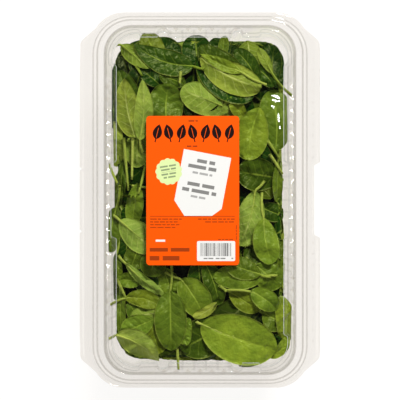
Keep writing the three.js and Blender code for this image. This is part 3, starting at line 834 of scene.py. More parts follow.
def make_label():
    """The label and its print. Every word and mark is a plain bar or shape."""
    paper = plain("label_orange", linear(*INKS["orange"]), PAPER_ROUGHNESS, PAPER_SHINE)
    outline = rounded(LABEL_X, LABEL_Y, *LABEL_HALF, LABEL_RADIUS)
    points = [(x, y, z) for z in (LABEL_LOW[2] - 0.2, LABEL_FACE) for x, y in outline]
    faces = capped_faces(2, len(outline))
    plate = make_mesh("label_sheet", points, faces, [paper], "cover", smooth=False)
    sheet = Print()
    sheet.words("brown", -9.5, -1.8, 65.4, 1.6, 1)
    sheet.words("brown", -10.8, -0.8, 44.4, 1.6, 2)
    print_leaves(sheet)
    print_tag(sheet)
    print_badge(sheet)
    sheet.bar("brown", -41.2, 28.7, -13.4, 0.55)
    for k in range(4):
        sheet.words("rust", -41.2, -15 - 3.4 * (k % 2), -15.8 - 2.3 * k, 1.3, 10 + k)
    for k in range(2):
        sheet.words("rust", -1.7 + 6 * k, 28.7, -15.8 - 2.3 * k, 1.3, 20 + k)
    sheet.words("rust", 15, 27.5, -32.6, 1.2, 25)
    sheet.words("rust", 24, 36, -26.8, 1.0, 26, turn=90, about=(30, -26.8))
    sheet.words("white", -36.6, -25.8, -33.6, 2.2, 27)
    sheet.words("brown", -41.6, -7, -41.1, 3.8, 28)
    sheet.words("brown", -41.6, -16.6, -48.1, 4.6, 29)
    print_barcode(sheet)
    inks = [plain(f"ink_{name}", linear(*ink), PAPER_ROUGHNESS, PAPER_SHINE) for name, ink in INKS.items()]
    marks = make_mesh("label_print", sheet.points, sheet.faces, inks, "cover",
                      face_ink=sheet.inks, smooth=False)
    return plate, marks


# The leaves are laid one after another over a map of heights, so that each rests on those before it

BLADE = 0.45
# The air between blades, and how far beside a place the heights below count
CLEAR = 0.12
NEAR = 1.2
# The share of a blade, in percent, that clears what is below it before the rest is pushed up
RESTING = 80


def outline_share(t, swell, round_tip):
    """Half the width of a blade at a share t of its length, as a share of the widest."""
    peak = swell / (swell + round_tip)
    most = peak**swell * (1 - peak) ** round_tip
    return t**swell * (1 - t) ** round_tip / most


class Leaf:
    """A leaf in plan: where the blade starts and ends, its width, which face is up and its tone, which below
    0 darkens the leaf as painted shade. Then how far it bows, where its stalk ends, how loosely it lies, how
    far it may reach past the heap's side and, where it's given, how pointed its tip is. A leaf without width
    is a bare stem."""

    def __init__(self, base, tip, width, face="U", tone=0.4, bow=0.0, stalk=None, loose=1.0, reach=0.5,
                 point=None):
        self.base, self.tip = np.array(base, float), np.array(tip, float)
        self.width, self.face, self.tone, self.bow = width, face, tone, bow
        self.stalk = None if stalk is None else np.array(stalk, float)
        self.loose, self.reach, self.point = loose, reach, point
        self.length = float(np.linalg.norm(self.tip - self.base))
        seed = abs(int(self.base[0] * 131 + self.base[1] * 17 + width * 7)) + 3
        self.draw = np.random.default_rng(seed)

    def line(self, t):
        """The midrib in plan, and the direction across it."""
        run, bend = self.tip - self.base, self.bow * self.length
        across = np.array([-run[1], run[0]]) / self.length
        centre = self.base + np.outer(t, run) + np.outer(bend * np.sin(np.pi * t), across)
        slope = run + np.outer(bend * np.pi * np.cos(np.pi * t), across)
        slope /= np.linalg.norm(slope, axis=1)[:, None]
        return centre, np.column_stack([-slope[:, 1], slope[:, 0]])

    def blade(self, rows, columns):
        """Grids of the blade's plan, its own relief and its shares along and across."""
        even = np.linspace(0, 1, rows)
        t = 0.45 * even + 0.55 * (0.5 - 0.5 * np.cos(np.pi * even))
        v = np.linspace(-1, 1, columns)
        swell, round_tip = self.draw.uniform(0.5, 0.75), self.draw.uniform(0.46, 0.58)
        round_tip = self.point or round_tip
        half = np.maximum(self.width / 2 * outline_share(t, swell, round_tip), 0.3)
        half[0] = 1.0
        centre, across = self.line(t)
        plan = centre[:, None] + across[:, None] * (half[:, None] * v)[..., None]
        share, off = np.meshgrid(t, v, indexing="ij")
        return plan, self.relief(share, off, half[:, None]), share, off

    def relief(self, t, v, half):
        """How far the blade stands above a flat one: its cup, midrib, veins, puckers and ruffled edge."""
        draw, up = self.draw, 1 if self.face == "U" else -1
        off, out = np.abs(v), v * half
        cup = draw.uniform(-0.28, 0.18) * half * off**2 + up * draw.uniform(0.0, 0.24) * np.abs(out)
        arch = draw.uniform(-0.02, 0.09) * self.length * 4 * t * (1 - t)
        rib = -0.8 * up * np.exp(-((out / 1.6) ** 2)) * np.sqrt(1 - 0.8 * t)
        phase = VEIN_PAIRS * (t - VEIN_SWEEP * off**VEIN_CURVE) + VEIN_SHIFT * (v > 0)
        swollen = 0.5 + 0.5 * np.cos(2 * np.pi * phase)
        uneven = 0.6 + 0.4 * np.sin(math.tau * draw.uniform(1, 2.4) * t + 5 * v + draw.uniform(0, 6))
        uneven *= 0.7 + 0.3 * np.sin(9 * t - 7 * v + draw.uniform(0, 6))
        pucker = up * draw.uniform(0.7, 1.7) * swollen * uneven * np.sin(np.pi * np.clip(off, 0, 1) ** 0.8)
        ruffle = draw.uniform(0.3, 1.2) * off**3
        ruffle = ruffle * np.sin(math.tau * (1.6 * t + draw.uniform() + 0.4 * (v > 0)))
        warp = 0
        for _ in range(3):
            a, b, c = draw.uniform(0.5, 1.6), draw.uniform(-1, 1), draw.uniform(0, math.tau)
            warp = warp + 0.85 * np.sin(math.tau * a * t + 2.4 * b * v + c)
        return self.loose * (cup + arch + ruffle + warp) + rib + pucker


class Field:
    """A map of how high the leaves stand so far, over a plane with square cells of a millimetre."""

    def __init__(self, low, high, start, wraps=False):
        self.low, self.wraps = np.array(low, float), wraps
        size = (np.array(high) - self.low).astype(int) + 1
        axes = [self.low[k] + np.arange(size[k]) for k in range(2)]
        self.heights = np.array(start(*np.meshgrid(*axes, indexing="ij")), float)

    def cells(self, plan):
        last_i, last_j = (size - 1.001 for size in self.heights.shape)
        i, j = plan[..., 0] - self.low[0], plan[..., 1] - self.low[1]
        i = np.mod(i, last_i) if self.wraps else np.clip(i, 0, last_i)
        return i, np.clip(j, 0, last_j)

    def sample(self, plan):
        i, j = self.cells(plan)
        i0, j0 = i.astype(int), j.astype(int)
        fi, fj, h = i - i0, j - j0, self.heights
        low = h[i0, j0] * (1 - fi) + h[i0 + 1, j0] * fi
        high = h[i0, j0 + 1] * (1 - fi) + h[i0 + 1, j0 + 1] * fi
        return low * (1 - fj) + high * fj

    def sample_high(self, plan):
        """The highest of the heights at a place and just beside it."""
        beside = [(0, 0), (NEAR, 0), (-NEAR, 0), (0, NEAR), (0, -NEAR)]
        return np.max([self.sample(plan + np.array(shift)) for shift in beside], axis=0)

    def envelope(self, reach):
        """The highest point within reach of each cell, with its own bumps smoothed away."""
        top = self.heights
        for axis in (0, 1):
            top = np.max([np.roll(top, shift, axis) for shift in range(-reach, reach + 1)], axis=0)
        for axis in (0, 1):
            top = np.mean([np.roll(top, shift, axis) for shift in range(-reach, reach + 1)], axis=0)
        return top

    def lift(self, plan, height):
        i, j = self.cells(plan)
        np.maximum.at(self.heights, (np.round(i).astype(int), np.round(j).astype(int)), height)


def denser(grid, times):
    """A grid of numbers with more rows and columns, by straight lines between them."""
    for axis in (0, 1):
        count = grid.shape[axis]
        place = np.linspace(0, count - 1, (count - 1) * times + 1)
        low = np.minimum(place.astype(int), count - 2)
        share = place - low
        shape = [1] * grid.ndim
        shape[axis] = -1
        share = share.reshape(shape)
        grid = np.take(grid, low, axis) * (1 - share) + np.take(grid, low + 1, axis) * share
    return grid


def blurred(grid):
    """Each number averaged with its neighbours."""
    padded = np.pad(grid, 1, mode="edge")
    return (padded[:-2, 1:-1] + padded[2:, 1:-1] + padded[1:-1, :-2] + padded[1:-1, 2:] + 2 * grid) / 6


def settle(field, plan, own, t, v):
    """The blade's heights once it rests on the field: a gentle slope under its own shape, pushed up
    where something below stands higher."""
    under = field.sample_high(plan)
    basis = np.stack([np.ones_like(t), t, v], axis=-1).reshape(-1, 3)
    target = (under - own).ravel()
    weight = np.ones_like(target)
    for _ in range(4):
        scaled = basis * weight[:, None]
        fit = basis @ np.linalg.lstsq(scaled, target * weight, rcond=None)[0]
        weight = np.where(target > fit, 1.0, 0.35)
    height = fit.reshape(t.shape) + own
    height += np.percentile(under - height, RESTING)
    push = np.clip(under + CLEAR + BLADE - height, 0, None)
    for _ in range(3):
        push = blurred(push)
    return np.maximum(height + push, under + CLEAR + BLADE)


STALK_SIDES = 8
# An end of a stalk as three faces of four corners
STALK_END = np.array([[0, 1, 2, 7], [2, 3, 6, 7], [3, 4, 5, 6]])
# A stalk's radius at its end, where the blade starts and where the midrib ends, and a bare stem's
STALK_RADII = (1.25, 1.0, 0.3)
STEM_RADII = (1.3, 0.95)
# How far along the blade the midrib runs, and how far a stalk sags sideways for its length
RIB_REACH = (0.02, 0.62)
STALK_SAG = 0.05
# Where on a blade, along and across, a stalk takes its veins from
STALK_UV = (0.3, 0.9)


class Heap:
    """Leaves laid over one field, gathered into one mesh."""

    def __init__(self, field, rows, columns, stalk_steps):
        self.field, self.rows, self.columns, self.stalk_steps = field, rows, columns, stalk_steps
        self.parts = []
        self.count = 0

    def gather(self, leaf, points, faces, uv, pale, stalk):
        size = len(points)
        values = [np.broadcast_to(value, size) for value in (leaf.reach, leaf.tone, pale, stalk)]
        self.parts.append((points, faces + self.count, uv, *values))
        self.count += size

    def lay(self, leaf):
        if not leaf.width:
            self.lay_stem(leaf)
            return
        plan, own, t, v = leaf.blade(self.rows, self.columns)
        height = settle(self.field, plan, own, t, v)
        if leaf.stalk is not None:
            self.lay_stalk(leaf, height, t)
        blade = np.dstack([plan, height])
        dense = denser(blade, 3)
        self.field.lift(dense[..., :2], dense[..., 2])
        self.close_blade(leaf, blade.reshape(-1, 3), t, v)

    def close_blade(self, leaf, top, t, v):
        """The blade as a thin solid: its upper face, the same one lower down, and the rim between."""
        size, (rows, columns) = len(top), t.shape
        left = np.arange(rows) * columns
        rim = np.concatenate([left, left[-1] + np.arange(1, columns), left[::-1][1:] + columns - 1,
                              np.arange(columns - 2, 0, -1)])
        faces = np.concatenate([grid_faces(rows, columns, 0, True), grid_faces(rows, columns, size),
                                band_faces(rim, rim + size)])
        uv = np.column_stack([t.ravel(), v.ravel() / 2 + 0.5])
        pale = np.repeat([0.0, 1.0] if leaf.face == "U" else [1.0, 0.0], size)
        points = np.concatenate([top, top - [0, 0, BLADE]])
        self.gather(leaf, points, faces, np.concatenate([uv, uv]), pale, 0.0)

    def lay_stalk(self, leaf, height, t):
        """The stalk, which runs on as the midrib and thins out."""
        steps, middle = self.stalk_steps, self.columns // 2
        lower = leaf.face == "L"
        free = np.linspace(0, 1, steps, endpoint=False)
        run = leaf.base - leaf.stalk
        length = np.linalg.norm(run)
        across = np.array([-run[1], run[0]]) / max(length, 1e-6)
        side = across * STALK_SAG * length * leaf.draw.choice([-1, 1])
        free_plan = leaf.stalk + np.outer(free, run) + np.outer(np.sin(np.pi * free), side)
        radius = np.concatenate([np.linspace(*STALK_RADII[:2], steps, endpoint=False),
                                 np.linspace(*STALK_RADII[1:], steps)])
        ground = self.field.sample(free_plan) + radius[:steps]
        free_height = np.maximum(ground, np.linspace(ground[0], height[0, middle], steps, endpoint=False))
        rib = np.linspace(*RIB_REACH, steps)
        rib_height = np.interp(rib, t[:, middle], height[:, middle]) + (0.1 if lower else -0.3) - BLADE / 2
        plan = np.concatenate([free_plan, leaf.line(rib)[0]])
        path = np.column_stack([plan, np.concatenate([free_height, rib_height])])
        shade = np.concatenate([np.ones(steps), np.linspace(1.0 if lower else 0.55, 0.2, steps)])
        self.tube(leaf, path, radius, shade, steps)

    def lay_stem(self, leaf):
        """A bare stem from the leaf's base to its tip."""
        steps = self.stalk_steps
        plan, _ = leaf.line(np.linspace(0, 1, steps))
        radius = np.linspace(*STEM_RADII, steps)
        ground = self.field.sample_high(plan) + radius
        height = np.maximum(ground, np.linspace(ground[0], ground[-1], steps))
        self.tube(leaf, np.column_stack([plan, height]), radius, np.ones(steps), steps - 1)

    def tube(self, leaf, path, radius, shade, free):
        """A round stalk along a path, which is smoothed over its free part."""
        for _ in range(4):
            path[1:free, 2] = (path[:free - 1, 2] + path[1:free, 2] * 2 + path[2:free + 1, 2]) / 4
        tangent = np.gradient(path, axis=0)
        tangent /= np.linalg.norm(tangent, axis=1)[:, None]
        across = np.cross(tangent, [0, 0, 1])
        across /= np.linalg.norm(across, axis=1)[:, None]
        up = np.cross(across, tangent)
        angles = np.linspace(0, math.tau, STALK_SIDES, endpoint=False)
        spread = across[:, None] * np.cos(angles)[:, None] + up[:, None] * np.sin(angles)[:, None]
        points = (path[:, None] + spread * radius[:, None, None]).reshape(-1, 3)
        end = STALK_END + len(points) - STALK_SIDES
        faces = np.concatenate([ring_faces(len(path), STALK_SIDES), STALK_END, end])
        uv = np.tile(STALK_UV, (len(points), 1))
        self.gather(leaf, points, faces, uv, 1.0, np.repeat(shade, STALK_SIDES))
        place = np.linspace(0, len(path) - 1, 6 * len(path))
        rows = (*path[:, :2].T, path[:, 2] + radius)
        x, y, top = (np.interp(place, np.arange(len(path)), row) for row in rows)
        self.field.lift(np.column_stack([x, y]), top)

    def make(self, name, material, place):
        """Turns the heap into a piece. place moves its points from the field's terms into the box."""
        points, faces, uv, reach, tone, pale, stalk = (np.concatenate(column) for column in zip(*self.parts))
        floats = {"tone": tone, "pale": pale, "stalk": stalk}
        return make_mesh(name, place(points, reach), faces.tolist(), [material], "base", uv, floats)


# Scattered leaves: their width as a share of their length, how long their stalks are and how far those
# stray, how much they bow, and how many of them have a stalk and lie with the upper face up
WIDTHS = (0.42, 0.6)
STALKS = (9, 24)
STRAY = 4
BOWS = (-0.08, 0.08)
STALK_SHARE, UPPER_SHARE = 0.3, 0.7


def random_leaf(draw, centre, loose, tones, reaches=(0, 0), small=40, large=62):
    length = draw.uniform(small, large)
    width = length * draw.uniform(*WIDTHS)
    angle = draw.uniform(0, math.tau)
    along = np.array([math.cos(angle), math.sin(angle)])
    base, tip = centre - along * length / 2, centre + along * length / 2
    stalk = base - along * draw.uniform(*STALKS) + draw.uniform(-STRAY, STRAY, 2)
    stalk = stalk if draw.uniform() < STALK_SHARE else None
    face = "U" if draw.uniform() < UPPER_SHARE else "L"
    tone, bow = draw.uniform(*tones), draw.uniform(*BOWS)
    return Leaf(base, tip, width, face, tone, bow, stalk, loose, draw.uniform(*reaches))


def scattered(draw, low, high, pitch):
    """Points over a rectangle, one in each cell of a loose grid, in random order."""
    low, high = np.array(low, float), np.array(high, float)
    count = np.maximum(np.round((high - low) / pitch), 1).astype(int)
    cell = (high - low) / count
    spots = [low + (np.array([i, j]) + draw.uniform(0.1, 0.9, 2)) * cell
             for i in range(count[0]) for j in range(count[1])]
    draw.shuffle(spots)
    return spots


# The heap's form: upright sides inside the leaning walls

HEAP_X, HEAP_Y, HEAP_RADIUS = 69.3, 133.5, 20.0
HEAP_FLOOR = 4.2
HEAP_NARROWS = 2.6
CORE_TOP = 70.0
SIDE_TOP = 71.0
LID_CLEAR = 0.4


def box_distance(x, y, half_x, half_y, radius):
    """Distance outside a rounded rectangle, and the direction away from it."""
    dx, dy = np.abs(x) - (half_x - radius), np.abs(y) - (half_y - radius)
    ox, oy = np.maximum(dx, 0), np.maximum(dy, 0)
    length = np.hypot(ox, oy)
    distance = length + np.minimum(np.maximum(dx, dy), 0) - radius
    safe = np.maximum(length, 1e-9)
    return distance, np.sign(x) * ox / safe, np.sign(y) * oy / safe


def lid_ceiling(x, y):
    """The highest a leaf may stand under the lid."""
    inset = np.minimum(MOUTH_X - np.abs(x), MOUTH_Y - np.abs(y))
    share = np.clip((inset - LEDGE_INSET) / (PANEL_INSET - LEDGE_INSET), 0, 1)
    return LEDGE_UNDER + (PANEL_UNDER - LEDGE_UNDER) * share - LID_CLEAR


PRESS_BASE = 60.0
PRESS_FROM = 85.5
PRESS_REACH = 9
# How soon a leaf's reach past the heap's side levels off, and how far it turns down for each millimetre
KEPT = 0.9
FALL = 0.85


def presser(field):
    """Squeezes a heap's leaves together wherever its top stands too high for the lid."""
    high = Field(field.low, field.low, lambda x, y: x)
    high.heights = field.envelope(PRESS_REACH)

    def place(points, reach):
        stands = high.sample(points[:, :2]) - PRESS_BASE
        room = np.clip((PANEL_UNDER - LID_CLEAR - PRESS_BASE) / stands, 0.3, 1)
        z = PRESS_BASE + (points[:, 2] - PRESS_BASE) * room
        return place_top(np.column_stack([points[:, :2], z]), reach)

    return place


def eased(far, room):
    """Runs on straight at first, then slows down so that it never passes room."""
    return room * (1 - np.exp(-np.clip(far, 0, None) / room))


def place_top(points, reach):
    """Keeps the top of the heap under the lid, and turns down what reaches past the heap's side."""
    x, y, h = points.T
    over, nx, ny = box_distance(x, y, HEAP_X + reach, HEAP_Y + reach, HEAP_RADIUS)
    over = np.clip(over, 0, None)
    keep = KEPT * over / (1 + KEPT * over)
    x, y = x - nx * (over - keep), y - ny * (over - keep)
    ceiling = lid_ceiling(x, y)
    start = np.minimum(PRESS_FROM, ceiling - 2.5)
    z = np.where(h > start, start + eased(h - start, ceiling - start), h)
    return np.column_stack([x, y, z - FALL * (over - 0.5 * keep)])


def heap_half(z):
    """How much narrower the heap is than its top at a height, because the wall leans in."""
    return HEAP_NARROWS * (1 - np.clip((z - WALL_FOOT) / (FLANGE_TOP - WALL_FOOT), 0, 1))


ARC = math.pi / 2 * HEAP_RADIUS
# The straight stretches of the heap's outline, along y and along x, and how far out each lies
STRETCHES = [(2 * (HEAP_Y - HEAP_RADIUS), HEAP_X), (2 * (HEAP_X - HEAP_RADIUS), HEAP_Y)]
PERIMETER = 2 * (STRETCHES[0][0] + STRETCHES[1][0]) + 4 * ARC


def round_the_heap(s):
    """A point on the heap's outline at a distance s round it, and the direction outwards."""
    s = np.mod(s, PERIMETER)
    x, y, nx, ny = (np.zeros_like(s) for _ in range(4))
    start = 0.0
    for quarter, (sx, sy) in enumerate(QUARTERS):
        angle = quarter * math.pi / 2
        cos, sin = math.cos(angle), math.sin(angle)
        length, half = STRETCHES[quarter % 2]
        on = (s >= start) & (s < start + length)
        u = s[on] - start - length / 2
        x[on], y[on] = cos * half - sin * u, sin * half + cos * u
        nx[on], ny[on] = cos, sin
        start += length
        on = (s >= start) & (s < start + ARC)
        turn = angle + (s[on] - start) / HEAP_RADIUS
        nx[on], ny[on] = np.cos(turn), np.sin(turn)
        x[on] = sx * (HEAP_X - HEAP_RADIUS) + HEAP_RADIUS * nx[on]
        y[on] = sy * (HEAP_Y - HEAP_RADIUS) + HEAP_RADIUS * ny[on]
        start += ARC
    return x, y, nx, ny


# How thick the side leaves lie at the foot, what they gain up to the flange, and how deep they start
SIDE_ROOM, SIDE_ROOM_GAIN, SIDE_SUNK = 4.2, 4.0, 3.2


def place_side(points, _):
    """From distance round the heap, height and depth to points in the box."""
    s, z, out = points.T
    out = eased(out, SIDE_ROOM + SIDE_ROOM_GAIN * np.clip(z / FLANGE_TOP, 0, 1)) - SIDE_SUNK
    low_over = np.clip(HEAP_FLOOR + 1.5 - z, 0, None)
    high_over = np.clip(z - SIDE_TOP, 0, None)
    out = out - 0.9 * (low_over + high_over)
    z = z + FALL * low_over - 1.5 * high_over
    x, y, nx, ny = round_the_heap(s)
    reach = out - heap_half(z)
    return np.column_stack([x + nx * reach, y + ny * reach, z])


BOTTOM_ROOM = 3.4
BOTTOM_INSET, BOTTOM_RADIUS = 6, 14


def place_bottom(points, _):
    """The heap's underside, pressed on the raised floor."""
    x, y, h = points.T
    z = HEAP_FLOOR + BOTTOM_ROOM - eased(h, BOTTOM_ROOM)
    over, nx, ny = box_distance(x, y, HEAP_X - BOTTOM_INSET, HEAP_Y - BOTTOM_INSET, BOTTOM_RADIUS)
    over = np.clip(over, 0, None)
    return np.column_stack([x - nx * over, y - ny * over, z + 0.8 * over])


# The leaves that show through the lid, lowest first: where the blade starts and ends, its width, which
# face is up, its tone from dark to light (below 0 darkened further as painted shade), its bow and where its
# stalk ends
TOP_LEAVES = [
    Leaf((-14, 112), (-42, 130), 30, "U", -0.1, reach=3),
    Leaf((-2, 112), (-4, 139), 25, "U", 0.0, stalk=(0, 98), reach=5),
    Leaf((-33, 112), (-46, 141), 20, "U", 0.34, stalk=(-28, 100), reach=6),
    Leaf((22, 136), (10, 118), 20, "U", -0.2, reach=2),
    Leaf((18, 118), (21, 138), 9, "U", 0.25, reach=4),
    Leaf((66, 94), (58, 132), 24, "U", -0.25, stalk=(68, 80)),
    Leaf((58, 92), (62, 130), 16, "U", -0.4),
    Leaf((-68, 130), (-58, 98), 18, "U", -0.95),
    Leaf((-45, 96), (-58, 120), 12, "U", -0.3, stalk=(-44, 88)),
    Leaf((-56, 84), (-48, 112), 20, "U", -0.5),
    Leaf((-31, 94), (-50, 110), 14, "U", -0.1),
    Leaf((-57, 118), (-48, 103), 0, "L", 0.1),
    Leaf((-34, 104), (-12, 97), 13, "U", 0.1),
    Leaf((44, 112), (62, 95), 15, "U", 0.05, bow=0.06),
    Leaf((20, 90), (44, 70), 24, "U", -0.1),
    Leaf((50, 50), (50, 20), 20, "U", 0.0),
    Leaf((-52, 56), (-53, 27), 21, "L", 0.4, stalk=(-52, 66)),
    Leaf((-71, 114), (-73, 60), 12, "U", 0.0, reach=4),
    Leaf((-72, 66), (-70, 28), 15, "L", 0.36, reach=3),
    Leaf((-62, -30), (-60, -56), 20, "U", -0.1),
    Leaf((-70, -44), (-71, -84), 12, "U", 0.15, reach=3),
    Leaf((40, -36), (60, -60), 28, "U", 0.12),
    Leaf((-2, -48), (2, -84), 22, "U", 0.05),
    Leaf((4, -52), (16, -88), 17, "U", 0.14, bow=0.05),
    Leaf((-31, -56), (-22, -82), 19, "U", 0.35, stalk=(-38, -44)),
    Leaf((-58, -60), (-36, -74), 20, "U", -0.3),
    Leaf((18, -126), (-14, -112), 34, "U", 0.04),
    Leaf((26, -102), (-16, -125), 34, "U", 0.1),
    Leaf((52, -94), (72, -104), 22, "U", 0.3, stalk=(44, -88)),
    Leaf((66, -80), (71, -122), 17, "U", 0.7, bow=0.08, reach=7),
    Leaf((60, -112), (70, -134), 16, "U", 0.0, reach=2),
    Leaf((33, -140), (56, -134), 6, "U", 0.75, reach=8),
    Leaf((58, -132), (74, -114), 10, "U", 0.75, bow=-0.12, reach=6),
    Leaf((-19, -124), (-18, -142), 0, "L", 0.5, reach=9),
    Leaf((40, 134), (43, 110), 22, "L", 0.02),
    Leaf((60, 105), (49, 127), 9, "L", 0.2, stalk=(77, 88), reach=8),
    Leaf((-46, 60), (-72, 84), 15, "L", 0.3, stalk=(-40, 50)),
    Leaf((-52, 78), (-67, 109), 20, "U", 0.14, bow=0.08, point=0.75),
    Leaf((63, 40), (60, 92), 29, "U", 0.32, bow=-0.05, reach=3),
    Leaf((-26, 56), (-26, 97), 29, "U", 0.24, bow=0.06, stalk=(-26, 40)),
    Leaf((68, 18), (31, 24), 28, "U", 0.1, stalk=(76, 14)),
    Leaf((50, -6), (71, -14), 16, "U", 0.06, stalk=(42, -4)),
    Leaf((65, 32), (65, -2), 9, "U", 0.35, stalk=(67, 42)),
    Leaf((-52, 14), (-57, -22), 15, "U", 0.4),
    Leaf((-65, 34), (-66, 2), 8, "U", 0.1),
    Leaf((-69, 22), (-70, -8), 10, "U", 0.2, reach=2),
    Leaf((-77, 30), (-69, 14), 0, "L", 0.35, reach=7),
    Leaf((-45, 30), (-51, 5), 0, "L", 0.3),
    Leaf((-63.5, 52), (-60, 8), 0, "L", 0.4),
    Leaf((-56, 52), (-57, 17), 0, "L", 0.75),
    Leaf((-67, -72), (-66, -112), 9, "U", 0.3, stalk=(-69, -58)),
    Leaf((-70, -46), (-67, -66), 7, "U", 0.25, stalk=(-68, -34)),
    Leaf((-50, -36), (-58, -58), 18, "U", 0.2),
    Leaf((-36, -42), (-42, -64), 22, "U", 0.22),
    Leaf((-70, -6), (-74, -44), 17, "U", 0.22, bow=-0.06, stalk=(-67, 12), reach=7),
    Leaf((-48, -68), (-70, -66), 13, "U", 0.45, stalk=(-38, -70)),
    Leaf((-69, -66), (-61, -84), 0, "L", 0.4),
    Leaf((-60, -84), (-50, -102), 13, "U", 0.24),
    Leaf((-34, -94), (-58, -97), 14, "L", 0.35),
    Leaf((-42, -98), (-34, -129), 19, "U", 0.42),
    Leaf((-38, -99), (-66, -111), 20, "U", 0.5),
    Leaf((46, -54), (68, -72), 24, "U", 0.4, stalk=(38, -48)),
    Leaf((52, -64), (11, -64), 21, "U", 0.4, stalk=(64, -63)),
    Leaf((50, -62), (22, -52), 19, "U", 0.25, stalk=(58, -64)),
    Leaf((24, -76), (50, -92), 17, "U", 0.42, stalk=(16, -71)),
    Leaf((-50, -36), (-33, -42), 10, "L", 0.3),
    Leaf((36, -39), (44, -36), 3, "L", 0.7),
    Leaf((24, 76), (-16, 92), 27, "L", 0.32, stalk=(36, 70)),
    Leaf((22, 60), (27, 85), 14, "L", 0.35),
    Leaf((38, 66), (26, 84), 12, "U", 0.6),
    Leaf((-2, 121), (45, 86), 29, "U", -0.05, bow=-0.08),
    Leaf((48, 98), (29, 126), 16, "U", 0.06, bow=-0.06),
    Leaf((37, 105), (0, 130), 25, "U", 0.1, bow=0.12, point=0.7),
    Leaf((0, 119), (51, 93), 26, "L", 0.36, bow=-0.06),
    Leaf((35, 106), (0, 122), 10.5, "U", 0.54, bow=0.02, stalk=(55, 96), point=0.95),
    Leaf((-66, 130), (-42, 109), 14, "L", 0.22, stalk=(-73, 132), reach=4, point=0.8),
    Leaf((-6, 112), (-55, 130), 22, "U", 0.06, bow=0.1, stalk=(4, 109), reach=2, point=0.85),
    Leaf((-16, 107), (-17, 97), 0, "L", 0.6),
    Leaf((-54, 52), (-63, 101), 22, "L", 0.44, bow=0.04, point=0.75),
    Leaf((-50, 50), (-48, 100), 16, "L", 0.56, bow=-0.05, stalk=(-48, 40), point=0.8),
    Leaf((56, 50), (68, 32), 0, "L", 0.3, reach=3),
    Leaf((58, 38), (69, 22), 0, "L", 0.6, reach=3),
    Leaf((50, 77), (41, 33), 29, "U", 0.62, bow=-0.06),
    Leaf((46, 8), (33, -38), 25, "L", 0.45, bow=0.05, stalk=(54, 16)),
    Leaf((53, -15), (60, -53), 22, "U", 0.505, bow=-0.05, stalk=(52, 6), loose=1.6),
    Leaf((-67, -17), (-38, -42), 24, "L", 0.5, stalk=(-73, -13), reach=3),
    Leaf((-62, -53), (-30, -79), 9, "L", 0.5, bow=-0.04, stalk=(-68, -46)),
    Leaf((-62, -82), (-34, -88), 15, "U", 0.42, bow=0.1, stalk=(-75, -88), reach=6),
    Leaf((42, -76), (64, -91), 18, "U", 0.45, bow=0.06, stalk=(21, -75.5)),
    Leaf((-16, -66), (4, -98), 26, "U", 0.43, bow=0.05, stalk=(-29, -60)),
    Leaf((14, -85), (-6, -97), 8, "L", 0.55, bow=0.08),
    Leaf((-9, -98), (-11, -121), 13, "U", 0.5, bow=-0.14),
    Leaf((1, -103), (64, -125), 41, "U", 0.722, bow=-0.03, stalk=(-3, -101), reach=4),
    Leaf((-25, -76), (-24, -126), 27, "U", 0.32, stalk=(-24.5, -48)),
    Leaf((-70, -112), (-34, -135), 22, "L", 0.8, bow=0.08, stalk=(-78, -117), reach=7, point=0.9),
]


# Where the heap has a dark hollow: its centre and how wide and deep it is
PITS = [
    (-63, 116, 10, 8.5), (-40, 60, 8, 9), (-62, 22, 8, 10), (66, 108, 9, 9), (-52, -76, 9, 9),
    (66, -122, 8, 9), (42, 84, 8, 8), (60, -8, 8, 8), (-16, 108, 8, 8),
]


def pit_depth(x, y):
    """How much lower the heap starts in its hollows."""
    return sum(depth * np.exp(-((x - px) ** 2 + (y - py) ** 2) / wide**2) for px, py, wide, depth in PITS)


def in_pit(x, y):
    return any(math.hypot(x - px, y - py) < wide * 1.2 for px, py, wide, _ in PITS)


def domed(x, y):
    """The heights that the top starts from: a low dome with hollows."""
    inset = np.minimum(HEAP_X - np.abs(x), HEAP_Y - np.abs(y))
    rise = 2.5 * smoothstep(inset, -6, 30) - 4 * (1 - smoothstep(inset, -8, 6))
    return CORE_TOP + rise - pit_depth(x, y)


def flat(x, _):
    """The heights that the sides and the underside start from."""
    return np.zeros_like(x)


# The leaf material's shine, and that of a copy with less shine for the deep leaves: painted shade, so that
# their gaps stay dark
LEAF_SHINE, SHADED_SHINE = 0.26, 0.06
# For each layer, the rows and columns of a blade and the steps along its stalk
SHOWN_GRID, MIDDLE_GRID, DEEP_GRID, BOTTOM_GRID = (36, 15, 9), (28, 11, 7), (20, 9, 5), (18, 9, 5)
# How far apart the scattered leaves lie in each layer, and how far inside its rectangle they stay
UNDER_PITCH, LABEL_PITCH, SIDE_PITCH, BOTTOM_PITCH = 24, 16, 20, 23
UNDER_MARGIN, LABEL_MARGIN, SIDE_MARGIN = 8, 18, 6
SIDE_HIGH = 84
# Tones of the side and bottom leaves; those below 0 are darkened as painted shade
HIDDEN_TONES = (-0.4, 0.7)


